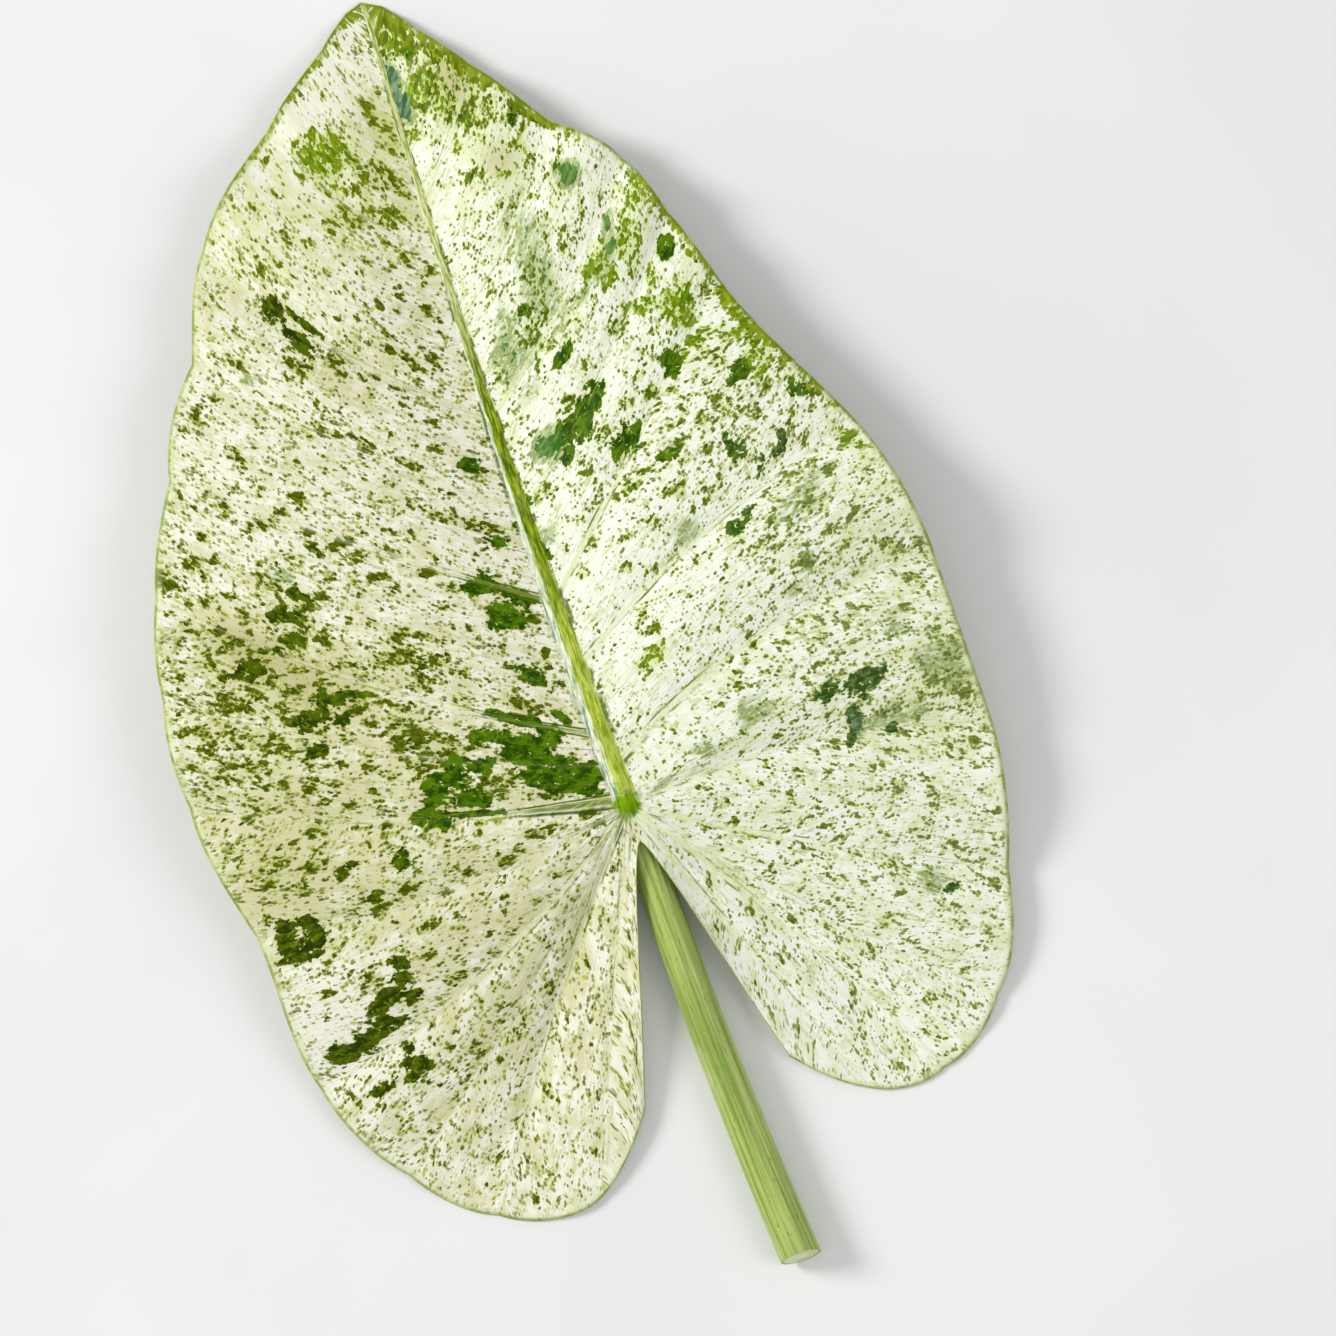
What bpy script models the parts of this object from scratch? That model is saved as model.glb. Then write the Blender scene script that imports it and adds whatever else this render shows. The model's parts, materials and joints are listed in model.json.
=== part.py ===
"""Alocasia leaf, picked and laid face up: a waved, ribbed blade and its cut petiole.

Lengths are in millimetres until a mesh is made. While it is worked out, the leaf has its petiole
point at X = Y = 0, its tip towards +Y and the surface that it rests on at Z = 0.
"""
import math
from collections import namedtuple

import bmesh
import bpy
import numpy as np

MM = 0.001

# Blade
MIDRIB_LENGTH = 270.0
TIP = (-0.5, 271.3)
TIP_TOP = 1.1
BLADE_THICKNESS = 0.9
KNOT_THICKENING = 0.6
KNOT_RADIUS = 14.0
KNOT_SWELL = 5.0
KNOT_SHOULDER = 34.0
WEB_LENGTH = 12.0
SINUS_ROUNDING = 5.0
MIDRIB_BOW = 2.7

# Midrib: a low ridge on top and a deep keel below
RIDGE_HALF_WIDTH = 4.2
RIDGE_HEIGHT = 1.6
RIDGE_TAPER_LENGTH = 290.0
KEEL_DEPTH = 10.5
KEEL_TAPER_LENGTH = 285.0
KEEL_TO_RIDGE_WIDTH = 1.4
HEEL_LENGTH = 2.1
KNOT_HEIGHT = 17.0
TIP_DROP = 16.5

# Side ribs and the surface between them
GROOVE_DEPTH = 0.5
GROOVE_HALF_WIDTH = 2.4
RIB_DEPTH = 1.3
RIB_HALF_WIDTH = 3.0
RIB_TAPER = 0.75
QUILT_HEIGHT = 2.1
QUILT_SPACING = 42.0
QUILT_START = 26.0
WAVE_HEIGHT = 2.6
FREE_HEIGHT = 8.0
RIPPLE_HEIGHT = 0.9
RIPPLE_LENGTH = 41.0

# Petiole
PETIOLE_LENGTH = 155.0
PETIOLE_TOP_RADIUS = 5.4
PETIOLE_END_RADIUS = 6.7
PETIOLE_LIFT = 4.4
PETIOLE_SETTLE = 35.0
PETIOLE_BEND = 7.0
PETIOLE_FLATTENING = 0.06
SEAT_GAP = 0.5
CUT_SLANT = 2.0

# Mesh: rows across the blade, as multiples of the ridge's half width, then evenly to the margin
NEAR_ROWS = (0.0, 0.5, 1.0, KEEL_TO_RIDGE_WIDTH, WEB_LENGTH / RIDGE_HALF_WIDTH)
FAR_ROWS = 8
COLUMN_WIDTH = 9.0
PETIOLE_SIDES = 20
PETIOLE_RINGS = 26

# A side rib. root is its height on the midrib; below zero it is a step of the fan at the knot.
# end is where it meets the margin, sag its bend towards the base as a share of its length, mid and
# rim the height of the blade half way out and at the margin, scallop how far the margin swells
# outwards before the next rib, and strength how deep the rib is.
Rib = namedtuple("Rib", "root end sag mid rim scallop strength")

LEFT_RIBS = (
    Rib(262.0, (-6.2, 269.4), 0.00, 0.7, 0.7, 0.3, 0.2),
    Rib(234.0, (-17.0, 260.6), 0.04, 4.2, 3.8, 0.6, 0.5),
    Rib(183.0, (-41.5, 241.2), 0.05, 10.0, 9.0, 0.8, 0.8),
    Rib(131.0, (-73.0, 211.0), 0.06, 16.0, 14.5, 0.8, 1.0),
    Rib(100.0, (-87.8, 177.0), 0.03, 19.0, 17.0, 2.8, 0.6),
    Rib(69.0, (-106.0, 144.0), 0.01, 21.0, 19.0, 0.8, 1.0),
    Rib(24.0, (-122.0, 109.5), 0.04, 22.5, 21.0, 0.6, 1.0),
    Rib(13.0, (-130.0, 78.0), 0.04, 22.0, 22.5, 1.0, 0.4),
    Rib(3.0, (-132.6, 43.0), 0.04, 20.5, 21.0, 1.4, 1.0),
    Rib(-10.0, (-125.6, -3.0), 0.05, 17.5, 16.0, 0.0, 0.4),
    Rib(-25.0, (-122.0, -55.5), 0.06, 12.0, 8.5, 1.0, 0.9),
    Rib(-40.0, (-104.0, -91.0), 0.02, 8.0, 3.0, 1.0, 0.5),
    Rib(-55.0, (-81.0, -112.0), -0.02, 4.6, -0.6, 1.6, 1.0),
    Rib(-70.0, (-48.0, -117.0), 0.00, 7.5, 2.5, 1.6, 0.7),
    Rib(-85.0, (-26.0, -95.0), 0.00, 11.5, 4.5, 0.0, 0.0),
)
RIGHT_RIBS = (
    Rib(262.0, (5.2, 268.2), 0.00, 0.7, 0.7, 0.3, 0.2),
    Rib(234.0, (14.0, 257.0), 0.04, 4.2, 3.9, 0.4, 0.5),
    Rib(205.0, (26.2, 241.2), 0.04, 8.0, 7.5, 0.6, 0.8),
    Rib(165.0, (45.4, 214.8), 0.04, 13.0, 12.0, 1.4, 0.6),
    Rib(131.0, (63.0, 196.5), 0.04, 17.0, 15.0, 0.6, 1.0),
    Rib(100.0, (71.5, 175.6), 0.03, 19.0, 17.0, 0.4, 0.5),
    Rib(69.0, (79.6, 152.4), 0.01, 20.5, 19.0, -1.6, 1.0),
    Rib(46.0, (107.6, 93.0), -0.05, 22.5, 22.0, 1.0, 1.0),
    Rib(13.0, (117.8, 47.0), -0.07, 21.5, 21.0, -1.8, 1.0),
    Rib(-10.0, (118.8, -11.0), -0.06, 16.5, 14.5, 0.6, 0.8),
    Rib(-25.0, (109.3, -57.0), 0.02, 11.5, 8.0, 1.2, 0.9),
    Rib(-40.0, (93.5, -95.0), 0.02, 8.0, 3.0, 1.0, 0.5),
    Rib(-55.0, (70.0, -112.0), -0.02, 4.6, -0.6, 1.6, 1.0),
    Rib(-70.0, (44.0, -110.0), 0.00, 7.0, 2.0, 1.6, 0.7),
    Rib(-85.0, (24.0, -93.0), 0.00, 11.5, 4.5, 0.0, 0.0),
)


def clear_scene():
    for old in list(bpy.data.objects):
        bpy.data.objects.remove(old, do_unlink=True)


def make_material(name, colour, roughness):
    material = bpy.data.materials.new(name)
    material.use_nodes = True
    shader = material.node_tree.nodes["Principled BSDF"]
    shader.inputs["Base Color"].default_value = (*colour, 1.0)
    shader.inputs["Roughness"].default_value = roughness
    shader.inputs["Metallic"].default_value = 0.0
    return material


def smooth_curve(knots, values, at):
    """Cubic curve through the values at the knots."""
    knots = np.asarray(knots, float)
    values = np.asarray(values, float)
    slopes = np.gradient(values, knots, axis=0)
    i = np.clip(np.searchsorted(knots, at, side="right") - 1, 0, len(knots) - 2)
    step = knots[i + 1] - knots[i]
    v = (at - knots[i]) / step
    rise = v * v * (3.0 - 2.0 * v)
    leave = v * (1.0 - v) ** 2 * step
    arrive = -v * v * (1.0 - v) * step
    if values.ndim == 2:
        rise, leave, arrive = rise[:, None], leave[:, None], arrive[:, None]
    return values[i] * (1.0 - rise) + values[i + 1] * rise + slopes[i] * leave + slopes[i + 1] * arrive


def ease(share):
    """Smooth rise from 0 to 1."""
    s = np.clip(share, 0.0, 1.0)
    return s * s * (3.0 - 2.0 * s)


def midrib_x(y):
    """The midrib's slight bow to the left."""
    along = np.clip(y / MIDRIB_LENGTH, 0.0, 1.0)
    return -MIDRIB_BOW * np.sin(math.pi * along ** 0.8)


def midrib_height(y):
    """Height of the blade's top along the midrib, without its ridge."""
    return KNOT_HEIGHT - TIP_DROP * np.clip(y / MIDRIB_LENGTH, 0.0, 1.0) ** 1.25


def ridge_half_width(y):
    return RIDGE_HALF_WIDTH * (1.0 - np.clip(y, 0.0, TIP[1]) / RIDGE_TAPER_LENGTH) ** 0.8


def keel_depth(y):
    return KEEL_DEPTH * (1.0 - np.clip(y, 0.0, TIP[1]) / KEEL_TAPER_LENGTH) ** 1.15


def midrib_distance(x, y):
    """Distance from the midrib, and behind the petiole point from that point."""
    return np.where(y > 0.0, np.abs(x - midrib_x(y)), np.hypot(x, y))


class Half:
    """One half of the blade. A fibre runs from the midrib to the margin at each turn, where turn is
    minus the height of its root, and goes on past zero round the fan at the knot."""

    def __init__(self, ribs):
        self.ribs = ribs
        self.turns = np.array([-rib.root for rib in ribs])
        self.ends = np.array([rib.end for rib in ribs])
        steps = np.linalg.norm(np.diff(self.ends, axis=0), axis=1)
        self.lengths = np.concatenate([[0.0], np.cumsum(steps)])

    def root(self, turn):
        y = np.maximum(0.0, -turn)
        return np.stack([midrib_x(y), y], axis=-1)

    def place(self, turn):
        """The rib before this fibre, and the fibre's share of the way to the next one."""
        i = np.clip(np.searchsorted(self.turns, turn, side="right") - 1, 0, len(self.turns) - 2)
        v = (turn - self.turns[i]) / (self.turns[i + 1] - self.turns[i])
        return i, np.clip(v, 0.0, 1.0)

    def margin(self, turn):
        i, v = self.place(turn)
        point = smooth_curve(self.lengths, self.ends, np.interp(turn, self.turns, self.lengths))
        outwards = point - self.root(turn)
        outwards /= np.linalg.norm(outwards, axis=-1)[:, None]
        swell = np.array([rib.scallop for rib in self.ribs])[i] * np.sin(math.pi * v) ** 0.8
        return point + outwards * swell[:, None]

    def fibre(self, turn, share):
        """Point at this share of the way out, for columns of fibres and rows of shares."""
        root, end = self.root(turn), self.margin(turn)
        chord = end - root
        length = np.linalg.norm(chord, axis=-1)
        sag = np.interp(turn, self.turns, [rib.sag for rib in self.ribs])
        bend = np.stack([chord[:, 1], -chord[:, 0]], axis=-1)
        bend *= np.where(bend[:, 1] > 0.0, -1.0, 1.0)[:, None] * sag[:, None] * 4.0
        s = share[..., None]
        point = root[:, None] + chord[:, None] * s + bend[:, None] * s * (1.0 - s)
        edge = self.sinus_edge(share * length[:, None], length)
        last = np.clip((turn - self.turns[-2]) / (self.turns[-1] - self.turns[-2]), 0.0, 1.0)
        last = last[:, None, None]
        return point * (1.0 - last) + edge * last

    def sinus_edge(self, distance, length):
        """Straight back over the web, then out along the lobe's inner edge."""
        start = np.array([0.0, -WEB_LENGTH])
        run = self.ends[-1] - start
        along = (distance - WEB_LENGTH) / (length[:, None] - WEB_LENGTH)
        s = np.clip(along, 0.0, 1.0)[..., None]
        across = np.array([-run[1], run[0]]) / np.linalg.norm(run)
        across *= math.copysign(1.0, across[0] * self.ends[-1][0])
        point = start + run * s + across * SINUS_ROUNDING * np.sqrt(s) * (1.0 - s) ** 2
        web = np.stack([np.zeros_like(distance), -np.minimum(distance, WEB_LENGTH)], axis=-1)
        return np.where(distance[..., None] > WEB_LENGTH, point, web)

    def shares(self, turn, near_rows, far_rows):
        """Shares of the way out at which the rows lie."""
        root, end = self.root(turn), self.margin(turn)
        chord = end - root
        length = np.linalg.norm(chord, axis=-1)
        lean = np.clip(length / np.maximum(np.abs(chord[:, 0]), 1e-6), 1.0, 1.9)
        stretch = np.where(turn < 0.0, lean, 1.0)
        near = np.outer(ridge_half_width(root[:, 1]) * stretch / length, near_rows)
        out = (np.arange(far_rows) + 1.0) / far_rows
        far = near[:, -1:] + (1.0 - near[:, -1:]) * out[None, :]
        return np.concatenate([near, far], axis=1)

    def rib_spacing(self, i, share):
        ends = np.diff(self.lengths)
        roots = np.linalg.norm(np.diff(self.root(self.turns), axis=0), axis=1)
        return ends[i][:, None] * share + roots[i][:, None] * (1.0 - share)

    def heights(self, turn, share, x, y):
        """Top and underside of the blade."""
        i, v = self.place(turn)
        start = midrib_height(np.maximum(0.0, -turn))[:, None]
        mid = smooth_curve(self.turns, [rib.mid for rib in self.ribs], turn)[:, None]
        rim = smooth_curve(self.turns, [rib.rim for rib in self.ribs], turn)[:, None]
        curve = 2.0 * (start - 2.0 * mid + rim)
        from_knot = np.hypot(x, y)
        slope = (rim - start - curve) * share + curve * share ** 2
        surface = start + slope * ease(from_knot / KNOT_SHOULDER)

        away = midrib_distance(x, y)
        spacing = self.rib_spacing(i, share)
        hump = np.sin(math.pi * v)[:, None]
        body = np.minimum(1.0, spacing / QUILT_SPACING) * np.sin(math.pi * share ** 0.8)
        surface = surface + QUILT_HEIGHT * hump * body * ease(away / QUILT_START)
        reach = np.clip(rim / FREE_HEIGHT, 0.15, 1.0)
        ripple = RIPPLE_HEIGHT * np.sin(2.0 * math.pi * turn / RIPPLE_LENGTH)[:, None]
        surface = surface + reach * (WAVE_HEIGHT * (hump - 0.5) + ripple) * share ** 4

        strength = np.array([rib.strength for rib in self.ribs])
        groove = np.zeros_like(share)
        rib = np.zeros_like(share)
        for each, gap in ((i, v), (i + 1, 1.0 - v)):
            apart = gap[:, None] * spacing
            groove += strength[each][:, None] * np.exp(-((apart / GROOVE_HALF_WIDTH) ** 2))
            rib += strength[each][:, None] * np.exp(-((apart / RIB_HALF_WIDTH) ** 2))
        taper = (1.0 - RIB_TAPER * share) * np.clip((from_knot - KNOT_SWELL) / KNOT_RADIUS, 0.0, 1.0)

        half_width = ridge_half_width(y)
        fade = np.clip(away / half_width - 1.0, 0.0, 1.0)
        bump = np.clip(1.0 - (away / half_width) ** 2, 0.0, 1.0) ** 2
        ridge = RIDGE_HEIGHT * (half_width / RIDGE_HALF_WIDTH) * bump
        round_keel = np.sqrt(np.clip(1.0 - (away / (half_width * KEEL_TO_RIDGE_WIDTH)) ** 2, 0.0, 1.0))
        keel = keel_depth(y) * round_keel * ease(1.0 + y / HEEL_LENGTH)
        thick = BLADE_THICKNESS + KNOT_THICKENING * np.exp(-((from_knot / KNOT_RADIUS) ** 2))

        under = np.maximum(0.0, surface - thick - keel - RIB_DEPTH * rib * taper * fade)
        top = surface + ridge - GROOVE_DEPTH * groove * taper * fade
        top = np.maximum(top, under + BLADE_THICKNESS)
        return top, under


def fibre_turns(halves):
    """Turns of the mesh's columns: every rib of both halves, and more between them."""
    knots = np.unique(np.concatenate([half.turns for half in halves]))
    turns = []
    for start, stop in zip(knots[:-1], knots[1:]):
        pair = np.array([start, stop])
        width = max(np.linalg.norm(np.diff(half.margin(pair), axis=0)) for half in halves)
        count = int(np.clip(math.ceil(width / COLUMN_WIDTH), 2, 6))
        even = np.arange(count) / count
        bunched = (1.0 - np.cos(math.pi * even)) / 2.0
        turns.extend(start + (stop - start) * (even + bunched) / 2.0)
    return np.array(turns + [knots[-1]])


def blade_grid(half, turns):
    share = half.shares(turns, NEAR_ROWS, FAR_ROWS)
    plan = half.fibre(turns, share)
    top, under = half.heights(turns, share, plan[..., 0], plan[..., 1])
    return plan, top, under


class Sheet:
    """A closed sheet whose top and underside are split into the same triangles."""

    def __init__(self):
        self.mesh = bmesh.new()
        self.pairs = {}

    def point(self, key, plan, top, under):
        if key not in self.pairs:
            x, y = plan[0] * MM, plan[1] * MM
            upper = self.mesh.verts.new((x, y, top * MM))
            lower = self.mesh.verts.new((x, y, under * MM))
            self.pairs[key] = (upper, lower)
        return key

    def triangle(self, a, b, c):
        if len({a, b, c}) == 3:
            uppers = [self.pairs[key][0] for key in (a, b, c)]
            lowers = [self.pairs[key][1] for key in (c, b, a)]
            self.mesh.faces.new(uppers)
            self.mesh.faces.new(lowers)

    def close(self):
        """Stand a rim of triangles along the open edge."""
        lower_of = {upper: lower for upper, lower in self.pairs.values()}
        for edge in [edge for edge in self.mesh.edges if edge.is_boundary]:
            a, b = edge.verts
            if a in lower_of and b in lower_of:
                self.mesh.faces.new((a, b, lower_of[b]))
                self.mesh.faces.new((a, lower_of[b], lower_of[a]))
        bmesh.ops.recalc_face_normals(self.mesh, faces=self.mesh.faces)


def blade_keys(side, column, row, last_column, on_fan):
    """Name of a mesh point, the same for both halves along the midrib and the web."""
    if row == 0 and on_fan:
        return "knot"
    shared = row == 0 or (column == last_column and row < len(NEAR_ROWS))
    return ("middle" if shared else side, column, row)


def build_blade():
    halves = (Half(LEFT_RIBS), Half(RIGHT_RIBS))
    turns = fibre_turns(halves)
    last = len(turns) - 1
    sheet = Sheet()
    first_columns = []
    for side, half in enumerate(halves):
        plan, top, under = blade_grid(half, turns)
        rows = plan.shape[1]
        keys = [[blade_keys(side, i, j, last, turns[i] >= 0.0) for j in range(rows)]
                for i in range(len(turns))]
        for i, line in enumerate(keys):
            for j, key in enumerate(line):
                sheet.point(key, plan[i, j], top[i, j], under[i, j])
        for i in range(last):
            for j in range(rows - 1):
                a, b = keys[i][j], keys[i + 1][j]
                c, d = keys[i + 1][j + 1], keys[i][j + 1]
                sheet.triangle(a, b, d)
                sheet.triangle(b, c, d)
        first_columns.append(keys[0])
    tip = sheet.point("tip", TIP, TIP_TOP, 0.0)
    for line in first_columns:
        for a, b in zip(line[:-1], line[1:]):
            sheet.triangle(tip, a, b)
    sheet.close()
    return sheet.mesh


def petiole_radius(down):
    return PETIOLE_TOP_RADIUS + (PETIOLE_END_RADIUS - PETIOLE_TOP_RADIUS) * down ** 0.8


def petiole_lift(down):
    """Height of the petiole's underside."""
    return PETIOLE_LIFT * math.exp(-down * PETIOLE_LENGTH / PETIOLE_SETTLE) * (1.0 - down)


def petiole_ring(mesh, down):
    """Ring of points at this share of the way from the knot to the cut end."""
    radius = petiole_radius(down)
    middle = petiole_lift(down) + radius
    x = PETIOLE_BEND * down ** 2
    ring = []
    for k in range(PETIOLE_SIDES):
        angle = 2.0 * math.pi * k / PETIOLE_SIDES
        across, up = radius * math.cos(angle), radius * math.sin(angle)
        up *= 1.0 - PETIOLE_FLATTENING * max(0.0, math.sin(angle))
        y = -PETIOLE_LENGTH * down
        if down == 0.0:
            y = -SEAT_GAP - HEEL_LENGTH * (up + radius) / (2.0 * radius)
        if down == 1.0:
            y += CUT_SLANT * up / radius
        ring.append(mesh.verts.new(((x + across) * MM, y * MM, (middle + up) * MM)))
    return ring


def build_petiole():
    mesh = bmesh.new()
    shares = [0.0] + [0.02 + 0.98 * (k / (PETIOLE_RINGS - 2)) for k in range(PETIOLE_RINGS - 1)]
    rings = [petiole_ring(mesh, share) for share in shares]
    for ring, following in zip(rings[:-1], rings[1:]):
        for k in range(PETIOLE_SIDES):
            after = (k + 1) % PETIOLE_SIDES
            a, b, c, d = ring[k], ring[after], following[after], following[k]
            mesh.faces.new((a, b, c))
            mesh.faces.new((a, c, d))
    mesh.faces.new(rings[0])
    mesh.faces.new(list(reversed(rings[-1])))
    bmesh.ops.recalc_face_normals(mesh, faces=mesh.faces)
    return mesh


def add_object(name, mesh, material):
    data = bpy.data.meshes.new(name)
    mesh.to_mesh(data)
    mesh.free()
    data.materials.append(material)
    data.shade_smooth()
    data.set_sharp_from_angle(angle=math.radians(50.0))
    leaf_piece = bpy.data.objects.new(name, data)
    bpy.context.collection.objects.link(leaf_piece)
    return leaf_piece


def centre_on_origin(pieces):
    """Put the middle of the leaf's box at X = Y = 0."""
    corners = np.array([vertex.co for piece in pieces for vertex in piece.data.vertices])
    middle = (corners.min(axis=0) + corners.max(axis=0)) / 2.0
    for piece in pieces:
        piece.location.x = -middle[0]
        piece.location.y = -middle[1]


def main():
    clear_scene()
    cream_green = make_material("variegated_blade", (0.62, 0.68, 0.42), 0.45)
    light_green = make_material("green_petiole", (0.42, 0.55, 0.20), 0.45)
    blade = add_object("blade", build_blade(), cream_green)
    petiole = add_object("petiole", build_petiole(), light_green)
    centre_on_origin((blade, petiole))


main()
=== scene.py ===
import json
import math
from collections import namedtuple

import bpy
import numpy as np
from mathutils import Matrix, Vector

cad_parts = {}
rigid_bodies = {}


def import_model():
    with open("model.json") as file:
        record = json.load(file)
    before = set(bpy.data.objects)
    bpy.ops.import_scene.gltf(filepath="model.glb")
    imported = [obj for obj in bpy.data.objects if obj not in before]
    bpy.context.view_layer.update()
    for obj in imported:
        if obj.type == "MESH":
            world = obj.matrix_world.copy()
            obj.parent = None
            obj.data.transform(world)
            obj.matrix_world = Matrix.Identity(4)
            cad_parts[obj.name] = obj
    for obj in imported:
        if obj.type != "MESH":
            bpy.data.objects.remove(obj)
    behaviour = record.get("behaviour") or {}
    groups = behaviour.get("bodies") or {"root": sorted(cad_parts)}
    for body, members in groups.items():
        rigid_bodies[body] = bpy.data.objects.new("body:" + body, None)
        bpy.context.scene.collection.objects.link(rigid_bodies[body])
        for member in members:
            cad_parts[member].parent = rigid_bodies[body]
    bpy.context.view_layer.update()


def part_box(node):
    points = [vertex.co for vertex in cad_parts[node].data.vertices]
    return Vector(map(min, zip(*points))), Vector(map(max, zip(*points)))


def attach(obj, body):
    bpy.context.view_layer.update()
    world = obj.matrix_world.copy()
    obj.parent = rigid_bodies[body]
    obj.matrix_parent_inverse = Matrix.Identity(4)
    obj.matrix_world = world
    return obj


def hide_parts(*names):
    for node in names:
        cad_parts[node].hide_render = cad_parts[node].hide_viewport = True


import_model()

# Looks of a picked alocasia leaf that lies face up: its blade and its cut petiole. Both are made
# again, finer, from the same sizes as the part's source. Lengths are in millimetres until a mesh is
# made. While it is worked out, the leaf has its petiole point at X = Y = 0 and its tip towards +Y.

MM = 0.001

# Blade
MIDRIB_LENGTH = 270.0
TIP = (-0.5, 271.3)
TIP_TOP = 1.1
BLADE_THICKNESS = 0.9
KNOT_THICKENING = 0.6
KNOT_RADIUS = 14.0
KNOT_SWELL = 5.0
KNOT_SHOULDER = 34.0
WEB_LENGTH = 12.0
SINUS_ROUNDING = 5.0
MIDRIB_BOW = 2.7

# Midrib: a low ridge on top and a deep keel below
RIDGE_HALF_WIDTH = 4.2
RIDGE_HEIGHT = 1.6
RIDGE_TAPER_LENGTH = 290.0
KEEL_DEPTH = 10.5
KEEL_TAPER_LENGTH = 285.0
KEEL_TO_RIDGE_WIDTH = 1.4
HEEL_LENGTH = 2.1
KNOT_HEIGHT = 17.0
TIP_DROP = 16.5

# Side ribs and the surface between them
GROOVE_DEPTH = 0.5
GROOVE_HALF_WIDTH = 2.4
RIB_DEPTH = 1.3
RIB_HALF_WIDTH = 3.0
RIB_TAPER = 0.75
QUILT_HEIGHT = 2.1
QUILT_SPACING = 42.0
QUILT_START = 26.0
WAVE_HEIGHT = 2.6
FREE_HEIGHT = 8.0
LEAST_WAVE = 0.15
RIPPLE_HEIGHT = 0.9
RIPPLE_LENGTH = 41.0

# Petiole
PETIOLE_LENGTH = 155.0
PETIOLE_TOP_RADIUS = 5.4
PETIOLE_END_RADIUS = 6.7
PETIOLE_LIFT = 4.4
PETIOLE_SETTLE = 35.0
PETIOLE_BEND = 7.0
PETIOLE_FLATTENING = 0.06
CUT_SLANT = 2.0
SLANT_START = 0.9
TUCK_LENGTH = 2.0
TUCK_SHRINK = 0.7
SKIN_RADIUS = 6.0

# Mesh: rows across the blade, as multiples of the ridge's half width, then evenly to the margin
NEAR_ROWS = (0.0, 0.15, 0.3, 0.45, 0.6, 0.75, 0.9, 1.0, 1.1, 1.2, 1.3, 1.36, KEEL_TO_RIDGE_WIDTH,
             1.6, 1.9, 2.3, WEB_LENGTH / RIDGE_HALF_WIDTH)
FAR_ROWS = 66
MOST_LEAN = 1.9
COLUMN_WIDTH = 2.3
PETIOLE_SIDES = 64
PETIOLE_RINGS = 150
CUT_RINGS = (0.97, 0.8, 0.6, 0.4, 0.2)
RIM_SWELL = 0.3

# Markings: how far past its edge a patch fades out, in patch sizes, and how far apart the patterns of
# neighbouring rib cells are taken
PATCH_FADE = 1.5
CELL_STEP = 37.0

# A side rib, as in the part's source. root is its height on the midrib; below zero it is a step of
# the fan at the knot. end is where it meets the margin, sag its bend towards the base, mid and rim
# the blade's height half way out and at the margin, scallop the margin's swell before the next rib,
# and strength how deep the rib is.
Rib = namedtuple("Rib", "root end sag mid rim scallop strength")

LEFT_RIBS = (
    Rib(262.0, (-6.2, 269.4), 0.00, 0.7, 0.7, 0.3, 0.2),
    Rib(234.0, (-17.0, 260.6), 0.04, 4.2, 3.8, 0.6, 0.5),
    Rib(183.0, (-41.5, 241.2), 0.05, 10.0, 9.0, 0.8, 0.8),
    Rib(131.0, (-73.0, 211.0), 0.06, 16.0, 14.5, 0.8, 1.0),
    Rib(100.0, (-87.8, 177.0), 0.03, 19.0, 17.0, 2.8, 0.6),
    Rib(69.0, (-106.0, 144.0), 0.01, 21.0, 19.0, 0.8, 1.0),
    Rib(24.0, (-122.0, 109.5), 0.04, 22.5, 21.0, 0.6, 1.0),
    Rib(13.0, (-130.0, 78.0), 0.04, 22.0, 22.5, 1.0, 0.4),
    Rib(3.0, (-132.6, 43.0), 0.04, 20.5, 21.0, 1.4, 1.0),
    Rib(-10.0, (-125.6, -3.0), 0.05, 17.5, 16.0, 0.0, 0.4),
    Rib(-25.0, (-122.0, -55.5), 0.06, 12.0, 8.5, 1.0, 0.9),
    Rib(-40.0, (-104.0, -91.0), 0.02, 8.0, 3.0, 1.0, 0.5),
    Rib(-55.0, (-81.0, -112.0), -0.02, 4.6, -0.6, 1.6, 1.0),
    Rib(-70.0, (-48.0, -117.0), 0.00, 7.5, 2.5, 1.6, 0.7),
    Rib(-85.0, (-26.0, -95.0), 0.00, 11.5, 4.5, 0.0, 0.0),
)
RIGHT_RIBS = (
    Rib(262.0, (5.2, 268.2), 0.00, 0.7, 0.7, 0.3, 0.2),
    Rib(234.0, (14.0, 257.0), 0.04, 4.2, 3.9, 0.4, 0.5),
    Rib(205.0, (26.2, 241.2), 0.04, 8.0, 7.5, 0.6, 0.8),
    Rib(165.0, (45.4, 214.8), 0.04, 13.0, 12.0, 1.4, 0.6),
    Rib(131.0, (63.0, 196.5), 0.04, 17.0, 15.0, 0.6, 1.0),
    Rib(100.0, (71.5, 175.6), 0.03, 19.0, 17.0, 0.4, 0.5),
    Rib(69.0, (79.6, 152.4), 0.01, 20.5, 19.0, -1.6, 1.0),
    Rib(46.0, (107.6, 93.0), -0.05, 22.5, 22.0, 1.0, 1.0),
    Rib(13.0, (117.8, 47.0), -0.07, 21.5, 21.0, -1.8, 1.0),
    Rib(-10.0, (118.8, -11.0), -0.06, 16.5, 14.5, 0.6, 0.8),
    Rib(-25.0, (109.3, -57.0), 0.02, 11.5, 8.0, 1.2, 0.9),
    Rib(-40.0, (93.5, -95.0), 0.02, 8.0, 3.0, 1.0, 0.5),
    Rib(-55.0, (70.0, -112.0), -0.02, 4.6, -0.6, 1.6, 1.0),
    Rib(-70.0, (44.0, -110.0), 0.00, 7.0, 2.0, 1.6, 0.7),
    Rib(-85.0, (24.0, -93.0), 0.00, 11.5, 4.5, 0.0, 0.0),
)

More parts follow.
